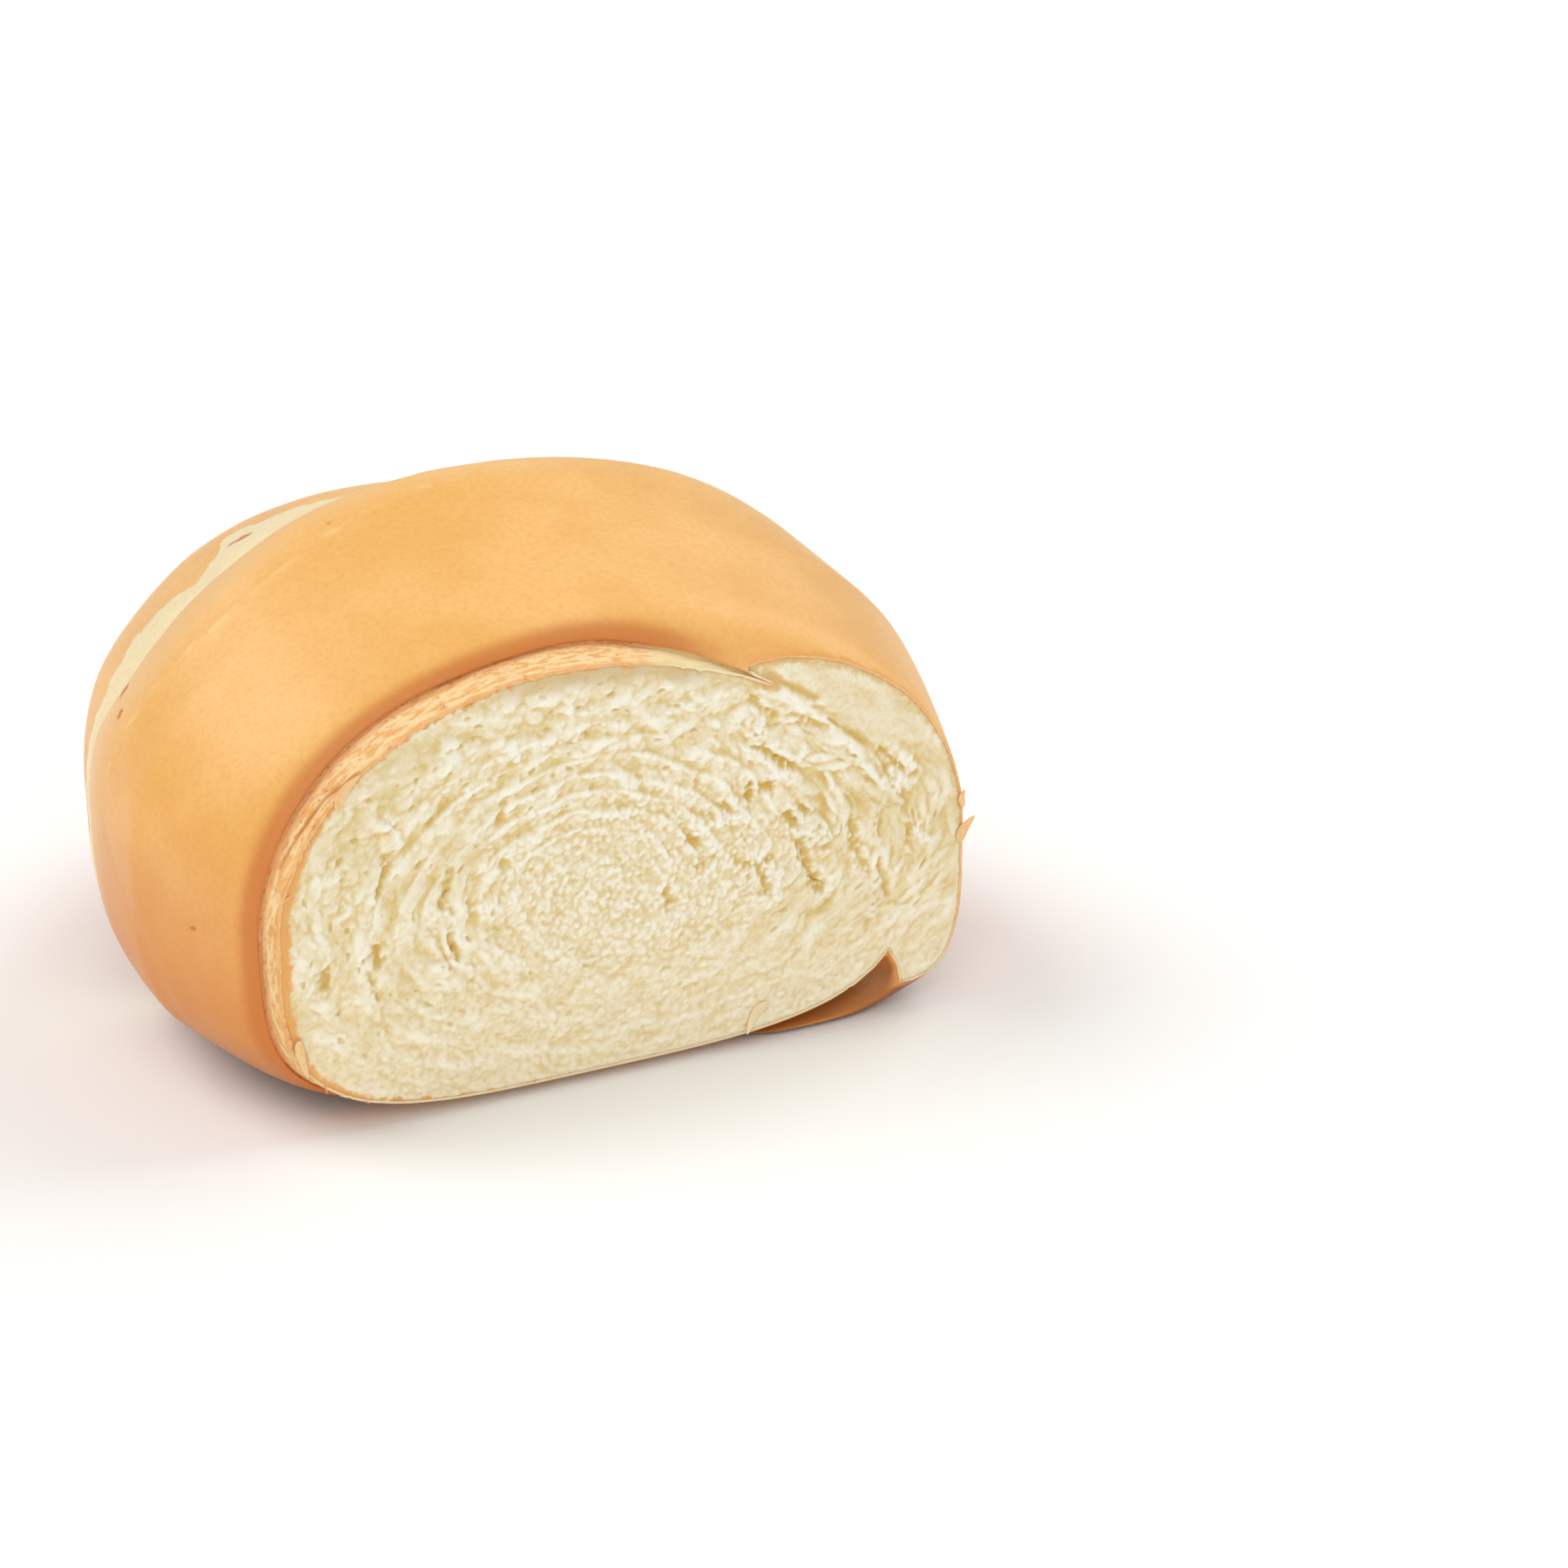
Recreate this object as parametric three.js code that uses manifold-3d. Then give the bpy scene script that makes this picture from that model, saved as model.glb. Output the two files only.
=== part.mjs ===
// A rolled white loaf with one end cut off, lying on its flat base. Millimetres, +Z up.
//
// The dough is rolled up like a scroll and baked on a tray, so the loaf is a fat oval spindle that wears
// a broad outer band. At the cut end the band stops in a rounded lip over the layer that it wraps, and
// where the lip runs in front of the cut, the knife has gone through it. Behind the band the crust has
// torn open into a shallow strip, and a last layer stops short of the tail.
//
// While it is modelled, x runs across the loaf, y from the cut face back along the roll and z up from
// the base. An angle round the roll starts at +x and passes the top at 90 degrees.

import * as THREE from "three";
import { ParametricGeometry } from "three/addons/geometries/ParametricGeometry.js";
import { mergeVertices } from "three/addons/utils/BufferGeometryUtils.js";
import Module from "manifold-3d";

const { cos, sin, abs, sign, min, max, hypot, atan2, floor, round, PI } = Math;
const { clamp, lerp, smoothstep, degToRad, radToDeg, euclideanModulo } = THREE.MathUtils;

// ---- Driving dimensions ----

// The outer skin at the cut and where it is fullest: half widths left and right of the roll's middle
// line, the height of its widest level, and its top.
const MIDDLE_X = 3;
const CUT = { left: 80, right: 77.7, waist: 42, top: 95 };
const FULL = { left: 92, right: 91.7, waist: 46, top: 113.4 };
const WIDEST_Y = 41;
const HIGHEST_Y = 69;
const BASE_END_Y = 100; // behind this, the base lifts off the tray towards the tail
const TAIL_Y = 174;
const TAIL_TIP_Z = 36;
const SIDE_GROWTH = 1.13; // above 1, the sides fill out early behind the cut
const BASE_SINK = 2; // how far the oval dips below the tray, which makes the flat base
const LEAN = 0.03; // how far left the upper half leans, for each millimetre that it rises

// The wrapped layer at the cut, and how much it fattens for each millimetre further back.
const INNER = { x: -8, left: 65.5, right: 76, low: 2, waist: 41, top: 90 };
const INNER_GROWTH = { side: 0.33, waist: 0.1, top: 0.21 };
const INNER_TURN = degToRad(8); // turns the inner oval so that it faces the outer one squarely
const FRONT_END_Y = -24; // both layers are modelled past the cut, and then cut

// Exponents of the ovals, left and right: 2 is an ellipse, and more is squarer.
const ROUNDNESS = { top: [2.09, 2.11], base: [3.55, 4.8] };
const INNER_ROUNDNESS = { top: [2.05, 1.8], base: [3.6, 3.7] };

// The lip's section, from the foot of the slot under it, over its rounded edge, to the band's skin:
// [mm behind the front of the lip, share of the way from the inner to the outer skin].
const LIP_SECTION = [
  [4.5, 0], [2.2, 0.04], [0.5, 0.1], [0, 0.2], [0.5, 0.38], [2, 0.62], [4.6, 0.84], [8, 0.96], [12, 1],
];
const LIP_EDGE_SHARE = 0.2;

// What runs round the loaf, as [degrees round the roll, value] knots. Places are mm behind the cut.
const LIP_Y = [
  [0, -12], [30, -9], [52, -4.4], [68, 0.4], [78, 4.4], [92, 8], [112, 7.6], [134, 7.3], [160, 5.2],
  [192, 4.6], [225, 5.6], [268, 7.5], [276, 5], [283, 1], [312, 0.8], [328, -3], [344, -9],
];
const LIP_ROUNDING = [[0, 1], [180, 1], [225, 1.4], [262, 0.9], [282, 0.2], [312, 0.2], [340, 0.8]];
const STRIP_Y = [[0, 73], [60, 76], [114, 75], [130, 71], [152, 70], [170, 78], [200, 75], [230, 71]];
const STRIP_WIDTH = [
  [0, 8], [40, 10], [75, 6], [107, 4], [116, 10], [126, 12], [132, 6], [142, 11.5], [152, 12],
  [163, 6], [200, 8], [270, 6],
];
const LAYER_DEPTH = [
  [0, 2.5], [50, 4.5], [85, 8.5], [110, 6.4], [130, 4.4], [148, 3], [165, 0.7], [215, 0.2], [300, 2],
];
const BACK_STEP_Y = [[0, 126], [60, 131], [120, 127], [180, 121], [240, 125], [300, 129]];

// Behind the band: its rounded back edge, the torn strip below the next layer, and the last step.
const BAND_EDGE = 11;
const BAND_EDGE_SHARE = 0.4; // of the next layer's depth, the part that this rounding takes up
const STRIP_DEPTH = 1.3;
const STEP_DEPTH = 5.5;
const STEP_RUN = 4; // how far the step takes to go down

// The cut face: the middle of the scroll, its reach out to the crust, and its torn layers.
const SCROLL = { x: 2, z: 44, reachX: 76, reachZ: 47 };
const SCROLL_TURNS = 5.5;
const LAYER_RELIEF = 0.8;
const TEAR_RELIEF = 0.9;

// The block that the knife took off, which is wider, deeper and taller than the loaf's front end.
const OFFCUT = { width: 220, depth: 60, bottom: -10, top: 120 };

// How finely the skins and the cut face are divided.
const ANGLE_STEPS = 84;
const BAND_STEPS = 9;
const LAYER_STEPS = 5;
const TAIL_STEPS = 8;
const FACE_STEP = 2.7;

// ---- Shape functions ----

// A smooth closed curve through [degrees, value] knots, as a function of an angle in radians.
function around(knots) {
  const knot = (i) => {
    const turns = floor(i / knots.length);
    const [degrees, value] = knots[i - turns * knots.length];
    return [degrees + 360 * turns, value];
  };
  const slope = (i) => (knot(i + 1)[1] - knot(i - 1)[1]) / (knot(i + 1)[0] - knot(i - 1)[0]);
  return (angle) => {
    const degrees = euclideanModulo(radToDeg(angle), 360);
    const i = knots.findLastIndex(([start]) => start <= degrees);
    const [from, valueFrom] = knot(i);
    const [to, valueTo] = knot(i + 1);
    const t = (degrees - from) / (to - from);
    const bend = slope(i) * t * (1 - t) ** 2 - slope(i + 1) * t ** 2 * (1 - t);
    return lerp(valueFrom, valueTo, t * t * (3 - 2 * t)) + bend * (to - from);
  };
}

const lipY = around(LIP_Y);
const lipRounding = around(LIP_ROUNDING);
const stripY = around(STRIP_Y);
const stripWidth = around(STRIP_WIDTH);
const layerDepth = around(LAYER_DEPTH);
const backStepY = around(BACK_STEP_Y);

// A point [x, z] of an oval whose quarters left, right, above and below its widest level differ.
function oval({ x, left, right, low, waist, top }, roundness, angle, sink = 0) {
  const c = cos(angle);
  const s = sin(angle);
  const [leftPower, rightPower] = s >= 0 ? roundness.top : roundness.base;
  const power = 2 / lerp(leftPower, rightPower, smoothstep(c, -0.3, 0.3));
  const across = sign(c) * abs(c) ** power;
  const up = abs(s) ** power;
  return [
    x + (c > 0 ? right : left) * across,
    s >= 0 ? waist + (top - waist) * up : max(waist - (waist - low + sink) * up, low),
  ];
}

// The outer skin, pressed in by the given depth.
function outerSkin(y, angle, depth = 0) {
  const grown = (from, to, at, power = 1) => to - (to - from) * max(0, 1 - y / at) ** power;
  const behind = (at) => (1 - clamp((y - at) / (TAIL_Y - at), 0, 1) ** 2) ** 0.5;
  const side = behind(WIDEST_Y);
  const pressed = min(depth, 0.5 * side * FULL.left);
  const section = {
    x: MIDDLE_X,
    left: grown(CUT.left, FULL.left, WIDEST_Y, SIDE_GROWTH) * side - pressed,
    right: grown(CUT.right, FULL.right, WIDEST_Y, SIDE_GROWTH) * side - pressed,
    low: TAIL_TIP_Z * (1 - behind(BASE_END_Y)) ** 1.3,
    waist: lerp(TAIL_TIP_Z, grown(CUT.waist, FULL.waist, WIDEST_Y), side),
    top: lerp(TAIL_TIP_Z, grown(CUT.top, FULL.top, HIGHEST_Y), behind(HIGHEST_Y)) - pressed,
  };
  const [x, z] = oval(section, ROUNDNESS, angle, BASE_SINK * side);
  return [x - LEAN * max(0, z - section.waist), z];
}

// The skin of the wrapped layer.
function innerSkin(y, angle) {
  const section = {
    ...INNER,
    left: INNER.left + INNER_GROWTH.side * y,
    right: INNER.right + INNER_GROWTH.side * y,
    waist: INNER.waist + INNER_GROWTH.waist * y,
    top: INNER.top + INNER_GROWTH.top * y,
  };
  return oval(section, INNER_ROUNDNESS, angle - INNER_TURN * max(0, sin(angle)));
}

// How far the skin lies below the outer one: the band's back edge, the strip, the layer and the step.
function depthBehindBand(y, angle) {
  const edge = clamp((y - stripY(angle)) / BAND_EDGE + 1, 0, 1) ** 2 * BAND_EDGE_SHARE;
  const intoStrip = (y - stripY(angle)) / stripWidth(angle);
  const opened = smoothstep(intoStrip, 0, 0.35);
  const healed = smoothstep(intoStrip, 0.4, 1.2);
  const stepped = smoothstep(y, backStepY(angle) - STEP_RUN, backStepY(angle));
  const layer = layerDepth(angle) * lerp(edge, 1, opened);
  return layer + STRIP_DEPTH * (opened - healed) + STEP_DEPTH * stepped;
}

// The stations along the loaf, from its front pole to its tail: each gives the point at an angle.
function profileStations() {
  const onInner = (yAt) => (angle) => {
    const y = yAt(angle);
    const [x, z] = innerSkin(y, angle);
    return [x, y, z];
  };
  const onOuter = (yAt) => (angle) => {
    const y = yAt(angle);
    const [x, z] = outerSkin(y, angle, depthBehindBand(y, angle));
    return [x, y, z];
  };
  const onLip = (back, share) => (angle) => {
    const y = lipY(angle) + back * (share > LIP_EDGE_SHARE ? lipRounding(angle) : 1);
    const [innerX, innerZ] = innerSkin(y, angle);
    const [outerX, outerZ] = outerSkin(y, angle);
    return [lerp(innerX, outerX, share), y, lerp(innerZ, outerZ, share)];
  };
  // The given number of stations between two places, of which the second has one too.
  const spread = (count, yFrom, yTo, ease = (t) => t) =>
    Array.from({ length: count }, (_, i) =>
      onOuter((angle) => lerp(yFrom(angle), yTo(angle), ease((i + 1) / count))),
    );
  const intoStrip = (share) => (angle) => stripY(angle) + share * stripWidth(angle);
  const bandStart = (angle) => lipY(angle) + LIP_SECTION.at(-1)[0] * lipRounding(angle);
  const stepStart = (angle) => backStepY(angle) - STEP_RUN;
  const towardsTail = (t) => sin(t * PI * 0.5);

  return [
    () => [INNER.x, FRONT_END_Y, INNER.waist],
    onInner(() => FRONT_END_Y),
    onInner((angle) => min(0, lipY(angle)) - 3),
    ...LIP_SECTION.map(([back, share]) => onLip(back, share)),
    ...spread(BAND_STEPS, bandStart, stripY),
    ...[0.18, 0.36, 0.8, 1.2].map((share) => onOuter(intoStrip(share))),
    ...spread(LAYER_STEPS, intoStrip(1.2), stepStart),
    ...spread(3, stepStart, backStepY),
    ...spread(TAIL_STEPS, backStepY, () => TAIL_Y, towardsTail),
  ];
}

// How far the torn crumb stands proud of the knife's plane at a place on the cut face.
function crumbRelief(x, z) {
  const across = (x - SCROLL.x) / SCROLL.reachX;
  const up = (z - SCROLL.z) / SCROLL.reachZ;
  const out = hypot(across, up);
  const angle = atan2(up, across);
  const layers = sin(2 * PI * SCROLL_TURNS * out - angle);
  const tears = sin(7 * angle + 9 * out) * sin(19 * out - 2 * angle + 1);
  const crumbly = smoothstep(out, 0.1, 0.5) * (1 - smoothstep(out, 0.82, 0.98));
  const aboveBase = lerp(0.35, 1, smoothstep(z, 10, 40));
  return crumbly * aboveBase * (LAYER_RELIEF * layers + TEAR_RELIEF * tears);
}

// ---- Solids ----

const wasm = await Module();
wasm.setup();

// A closed geometry as a solid: shared vertices are merged, and collapsed faces left out.
function solidOf(geometry) {
  const bare = geometry.clone();
  bare.deleteAttribute("normal");
  bare.deleteAttribute("uv");
  const merged = mergeVertices(bare, 1e-4);
  const corners = merged.index.array;
  const faces = [];
  for (let i = 0; i < corners.length; i += 3) {
    const [a, b, c] = corners.slice(i, i + 3);
    if (a !== b && b !== c && c !== a) faces.push(a, b, c);
  }
  const vertProperties = merged.attributes.position.array;
  return new wasm.Manifold(new wasm.Mesh({ numProp: 3, vertProperties, triVerts: new Uint32Array(faces) }));
}

function geometryOf(solid) {
  const { vertProperties, triVerts } = solid.getMesh();
  const geometry = new THREE.BufferGeometry();
  geometry.setAttribute("position", new THREE.BufferAttribute(vertProperties, 3));
  geometry.setIndex(new THREE.BufferAttribute(triVerts, 1));
  return geometry;
}

function makeUncutLoaf() {
  const stations = profileStations();
  const last = stations.length - 1;
  const surface = (along, turned, target) => {
    target.set(...stations[round(along * last)](turned >= 1 ? 0 : turned * 2 * PI));
  };
  return solidOf(new ParametricGeometry(surface, last, ANGLE_STEPS));
}

// The block in front of the cut, whose back face is the torn crumb's other side.
function makeOffcut() {
  const { width, depth, bottom, top } = OFFCUT;
  const columns = round(width / FACE_STEP);
  const rows = round((top - bottom) / FACE_STEP);
  const block = new THREE.BoxGeometry(width, depth, top - bottom, columns, 1, rows);
  block.translate(0, -depth / 2, (top + bottom) / 2);
  const points = block.attributes.position;
  for (let i = 0; i < points.count; i++)
    if (points.getY(i) > -depth / 2) points.setY(i, -crumbRelief(points.getX(i), points.getZ(i)));
  return solidOf(block);
}

const cutLoaf = geometryOf(makeUncutLoaf().subtract(makeOffcut()));

// The origin goes to the middle of the base.
cutLoaf.computeBoundingBox();
const middle = cutLoaf.boundingBox.getCenter(new THREE.Vector3());
cutLoaf.translate(-middle.x, -middle.y, -cutLoaf.boundingBox.min.z);
cutLoaf.computeVertexNormals();

const crust = new THREE.MeshStandardMaterial({ color: 0xf0b46c, roughness: 0.62, metalness: 0 });
const loaf = new THREE.Mesh(cutLoaf, crust);
loaf.name = "loaf";

const group = new THREE.Group();
group.add(loaf);
export default group;
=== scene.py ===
# %% [markdown]
# # A rolled white loaf, cut open
#
# The loaf is hand-rolled dough: a sheet rolled up like a scroll, baked on a tray and cut across near one
# end. It has two finishes: a thin golden crust and a torn, cream-coloured crumb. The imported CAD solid
# gives its size and place, and this lesson makes two fine meshes that stand for it, from the same kind
# of formulas, so that the rounded lip, the torn strip and the crumb's holes can be real geometry.

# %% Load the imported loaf
import math

import bmesh
import bpy
import numpy as np
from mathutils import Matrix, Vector
from mathutils.kdtree import KDTree


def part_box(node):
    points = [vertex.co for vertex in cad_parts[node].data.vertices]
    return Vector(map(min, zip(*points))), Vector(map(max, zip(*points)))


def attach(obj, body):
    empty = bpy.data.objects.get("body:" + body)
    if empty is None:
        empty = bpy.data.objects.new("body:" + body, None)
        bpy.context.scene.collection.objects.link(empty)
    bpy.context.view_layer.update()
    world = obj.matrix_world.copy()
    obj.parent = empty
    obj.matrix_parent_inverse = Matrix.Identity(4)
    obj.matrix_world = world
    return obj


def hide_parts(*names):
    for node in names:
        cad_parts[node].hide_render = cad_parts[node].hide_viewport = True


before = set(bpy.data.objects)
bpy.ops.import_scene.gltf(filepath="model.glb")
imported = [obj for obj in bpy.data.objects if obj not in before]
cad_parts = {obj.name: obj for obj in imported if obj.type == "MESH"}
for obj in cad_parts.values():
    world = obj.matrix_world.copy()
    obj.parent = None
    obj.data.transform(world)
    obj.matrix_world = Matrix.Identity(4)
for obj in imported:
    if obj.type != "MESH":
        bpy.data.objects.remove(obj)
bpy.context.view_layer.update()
loaf_low, loaf_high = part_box("loaf")
MM = 0.001
print("loaf, mm:", [round((b - a) / MM, 1) for a, b in zip(loaf_low, loaf_high)])

# %% [markdown]
# ## The camera
#
# The camera comes first, because every later choice of detail depends on what it shows. It stands a
# little to the left of the cut face and looks down on it by 21 degrees, as a person at a table would.
# An 85 mm lens from 76 cm away keeps the near face from looking swollen.

# %% Camera
CAMERA_MM = Vector((-298.25, -712.7, 329.5))
TARGET_MM = Vector((34.85, -86.2, 57.1))

camera = bpy.data.objects.new("camera", bpy.data.cameras.new("camera"))
bpy.context.scene.collection.objects.link(camera)
camera.data.lens = 85
camera.data.sensor_width = 36
camera.data.clip_start = 50 * MM
camera.location = CAMERA_MM * MM
camera.rotation_euler = (TARGET_MM - CAMERA_MM).to_track_quat("-Z", "Y").to_euler()
bpy.context.scene.camera = camera
print("camera distance, mm:", round((TARGET_MM - CAMERA_MM).length))

# %% [markdown]
# ## The form of the loaf
#
# The loaf could be sculpted by hand, but its form follows a rule: a fat oval spindle that wears a broad
# outer band over the layer inside it. So it is a grid of points, where one direction runs round the roll
# and the other from the cut back to the tail. Plain arrays hold it instead of Geometry Nodes, because the
# knife's cut has to be walked along later, corner by corner. Lengths are in millimetres, with y = 0 at
# the cut, and angles start at the right side and pass the top at 90 degrees.

# %% Dimensions of the skins
TAIL_Y, TAIL_TIP_Z = 174, 36
MIDDLE_X = 3
CUT = {"left": 80, "right": 77.7, "waist": 42, "top": 95}  # the outer section at the cut
FULL = {"left": 92, "right": 91.7, "waist": 46, "top": 113.4}  # and where it is fullest
WIDEST_Y, HIGHEST_Y, BASE_END_Y = 41, 69, 100
SIDE_GROWTH, BASE_SINK, SIDE_LEAN, TAIL_LIFT = 1.13, 2, 0.03, 1.3

INNER = {"x": -8, "left": 65.5, "right": 76, "low": 2, "waist": 41, "top": 90}
INNER_GROWTH = {"side": 0.33, "waist": 0.1, "top": 0.21}  # mm for each mm behind the cut
INNER_TURN = math.radians(8)

# Powers of the ovals, (left, right): 2 is an ellipse, and more is squarer.
ROUNDNESS = {"top": (2.09, 2.11), "base": (3.55, 4.8)}
INNER_ROUNDNESS = {"top": (2.05, 1.8), "base": (3.6, 3.7)}

# From the mesh's own millimetres to the part's frame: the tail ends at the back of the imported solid.
TO_PART = np.array([-2.82, loaf_high.y / MM - TAIL_Y, 0.0])
print("the cut is at y =", round(TO_PART[1], 2), "mm in the part")


# %% Curves through knots
def smooth(value, start, end):
    """Rises softly from 0 at start to 1 at end, and falls where end is the lower one."""
    t = np.clip((value - start) / (end - start), 0, 1)
    return t * t * (3 - 2 * t)


def around(knots):
    """A smooth closed curve through (degrees, value) knots, as a function of an angle in radians."""
    place, value = (np.array(column, float) for column in zip(*knots))
    place = np.concatenate([place - 360, place, place + 360])
    value = np.tile(value, 3)
    slope = (np.roll(value, -1) - np.roll(value, 1)) / (np.roll(place, -1) - np.roll(place, 1))

    def curve(angle):
        degrees = np.degrees(angle) % 360
        i = np.searchsorted(place, degrees, side="right") - 1
        gap = place[i + 1] - place[i]
        t = (degrees - place[i]) / gap
        bend = slope[i] * t * (1 - t) ** 2 - slope[i + 1] * t**2 * (1 - t)
        return value[i] + (value[i + 1] - value[i]) * t * t * (3 - 2 * t) + bend * gap

    return curve


halfway = around([(0, 0), (120, 1), (240, 0)])(math.radians(60))
print("halfway from a knot of 0 to a knot of 1:", round(float(halfway), 2))


# %% Where the lip, the torn strip and the last step run round the loaf
lip_y = around([
    (0, -12), (30, -9), (52, -4.4), (68, 0.4), (78, 4.4), (92, 8), (112, 7.6), (134, 7.3), (160, 5.2),
    (192, 4.6), (225, 5.6), (268, 7.5), (276, 5), (283, 1), (312, 0.8), (328, -3), (344, -9),
])
lip_rounding = around([
    (0, 1), (180, 1), (225, 1.4), (262, 0.9), (282, 0.2), (312, 0.2), (340, 0.8),
])
slot_depth = around([
    (0, 2.5), (60, 2.0), (75, 1.2), (90, 0.8), (130, 0.7), (215, 0.8), (262, 1.5), (283, 4.5),
])
fat_lip = around([(0, 0), (225, 0), (268, 0), (283, 1), (322, 1), (344, 0)])
strip_y = around([
    (0, 73), (60, 76), (114, 75), (130, 71), (152, 70), (170, 78), (200, 75), (230, 71),
])
strip_width = around([
    (0, 8), (40, 10), (75, 6), (107, 4), (116, 10), (126, 12), (132, 6), (142, 11.5), (152, 12),
    (163, 6), (200, 8), (270, 6),
])
layer_depth = around([
    (0, 2.5), (50, 4.5), (85, 8.5), (110, 6.4), (130, 4.4), (148, 3), (165, 0.7), (215, 0.2), (300, 2),
])
cream_width = around([
    (0, 12), (60, 13), (98, 14), (108, 19), (115, 24), (121, 27), (125, 31), (129, 20), (134, 14),
    (139, 17), (146, 20), (151, 18), (155, 15.5), (160, 11), (166, 8), (200, 12), (270, 12),
])
back_step_y = around([(0, 126), (60, 131), (120, 127), (180, 121), (240, 125), (300, 129)])
print("y of the strip at right, top, left and base:", strip_y(np.radians([0, 90, 180, 270])).round(), "mm")


# %% The outer skin
def oval(section, roundness, angle, sink=0.0):
    """Points (x, z) of an oval whose four quarters differ: left and right, above and below its waist."""
    c, s = np.cos(angle), np.sin(angle)
    above = s >= 0
    left = np.where(above, roundness["top"][0], roundness["base"][0])
    right = np.where(above, roundness["top"][1], roundness["base"][1])
    power = 2 / (left + (right - left) * smooth(c, -0.3, 0.3))
    across = np.sign(c) * np.abs(c) ** power
    up = np.abs(s) ** power
    x = section["x"] + np.where(c > 0, section["right"], section["left"]) * across
    waist, low = section["waist"], section["low"]
    below = np.maximum(waist - (waist - low + sink) * up, low)
    return x, np.where(above, waist + (section["top"] - waist) * up, below)


def outer_skin(y, angle, depth=0.0):
    """The section of the outer band and the tail, pressed in by depth. It swells, and closes at the tail."""
    def grown(name, at, power=1.0):
        return FULL[name] - (FULL[name] - CUT[name]) * np.maximum(0, 1 - y / at) ** power

    def behind(at):
        return np.sqrt(1 - np.clip((y - at) / (TAIL_Y - at), 0, 1) ** 2)

    side = behind(WIDEST_Y)
    pressed = np.minimum(depth, 0.5 * side * FULL["left"])
    section = {
        "x": MIDDLE_X,
        "left": grown("left", WIDEST_Y, SIDE_GROWTH) * side - pressed,
        "right": grown("right", WIDEST_Y, SIDE_GROWTH) * side - pressed,
        "low": TAIL_TIP_Z * (1 - behind(BASE_END_Y)) ** TAIL_LIFT,
        "waist": TAIL_TIP_Z + (grown("waist", WIDEST_Y) - TAIL_TIP_Z) * side,
        "top": TAIL_TIP_Z + (grown("top", HIGHEST_Y) - TAIL_TIP_Z) * behind(HIGHEST_Y) - pressed,
    }
    x, z = oval(section, ROUNDNESS, angle, BASE_SINK * side)
    return x - SIDE_LEAN * np.maximum(0, z - section["waist"]), z


all_round = np.linspace(0, 2 * np.pi, 361)
print("widest section, mm:", [round(float(np.ptp(way)), 1) for way in outer_skin(WIDEST_Y, all_round)])


# %% The inner skin
def inner_skin(y, angle):
    """The section of the wrapped layer, which comes out from under the band."""
    growing = (("left", "side"), ("right", "side"), ("waist", "waist"), ("top", "top"))
    section = dict(INNER, **{part: INNER[part] + INNER_GROWTH[growth] * y for part, growth in growing})
    return oval(section, INNER_ROUNDNESS, angle - INNER_TURN * np.maximum(0, np.sin(angle)))


print("wrapped layer at the cut, mm:", [round(float(np.ptp(way)), 1) for way in inner_skin(0, all_round)])

# %% How deep the skin lies behind the band
BAND_EDGE, BAND_EDGE_SHARE = 11, 0.4  # mm over which the band's edge turns down, and its share of the depth
STRIP_DEPTH, STEP_DEPTH, STEP_RUN = 1.3, 5.5, 4


def depth_behind_band(y, angle):
    """Millimetres below the full skin: down past the band's edge, a shallow torn strip, and one more step."""
    edge = np.clip((y - strip_y(angle)) / BAND_EDGE + 1, 0, 1) ** 2 * BAND_EDGE_SHARE
    into = (y - strip_y(angle)) / strip_width(angle)
    opened, healed = smooth(into, 0, 0.35), smooth(into, 0.4, 1.2)
    step = back_step_y(angle)
    layer = layer_depth(angle) * (edge + (1 - edge) * opened)
    return layer + STRIP_DEPTH * (opened - healed) + STEP_DEPTH * smooth(y, step - STEP_RUN, step)


print("deepest at the tail, mm:", round(float(depth_behind_band(TAIL_Y, all_round).max()), 1))

# %% [markdown]
# ## Random bumps that stay the same
#
# Bread is irregular, but the script has to give the same loaf each time. So all randomness comes from
# numbered seeds. This noise interpolates a fixed lattice of random values, which is what a Noise Texture
# does too, but here it can move the mesh's points.

# %% Lattice noise
LATTICE = 48


def noise_at(points, size, seed):
    """Noise from -1 to 1 whose bumps are about size millimetres across. size may differ along x, y and z."""
    lattice = np.random.default_rng(seed).uniform(-1, 1, (LATTICE,) * 3)
    place = points / np.asarray(size, float)
    cell = np.floor(place).astype(int)
    part = place - cell
    part = part**3 * (part * (part * 6 - 15) + 10)
    total = np.zeros(len(points))
    for corner in np.ndindex(2, 2, 2):
        weight = np.prod(np.where(corner, part, 1 - part), axis=1)
        total += weight * lattice[tuple(((cell + corner) % LATTICE).T)]
    return total


print("noise at three places:", noise_at(np.array([[0, 0, 0], [5, 0, 0], [0, 9, 0]]), 10, 1).round(2))

# %% [markdown]
# ## The grid of the crust
#
# The points go round the roll in evenly spaced steps. The wrapped layer in front of the lip is only a few
# millimetres wide and covered in cracks, so it has twice as many points round as the band behind it, and
# a row of triangles joins the two. A lip's section is a list of pairs: how far back, and which share of
# the way from the inner skin to the outer one. Low on the right the lip is fatter and hangs forward.

# %% Steps round the roll
ROUND_STEPS = 440


def even_angles(count):
    """Angles whose points on the fullest section are evenly spaced, and the distance round to each."""
    angle = np.linspace(0, 2 * np.pi, 20001)  # fine enough to measure along
    x, z = outer_skin(WIDEST_Y, angle)
    run = np.concatenate([[0], np.cumsum(np.hypot(np.diff(x), np.diff(z)))])
    at = np.arange(count) / count * run[-1]
    return np.interp(at, run, angle), at


fine_angles, fine_runs = even_angles(2 * ROUND_STEPS)
coarse_angles = fine_angles[::2]
print("mm between points, round the layer and round the band:", fine_runs[1:3].round(2))

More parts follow.
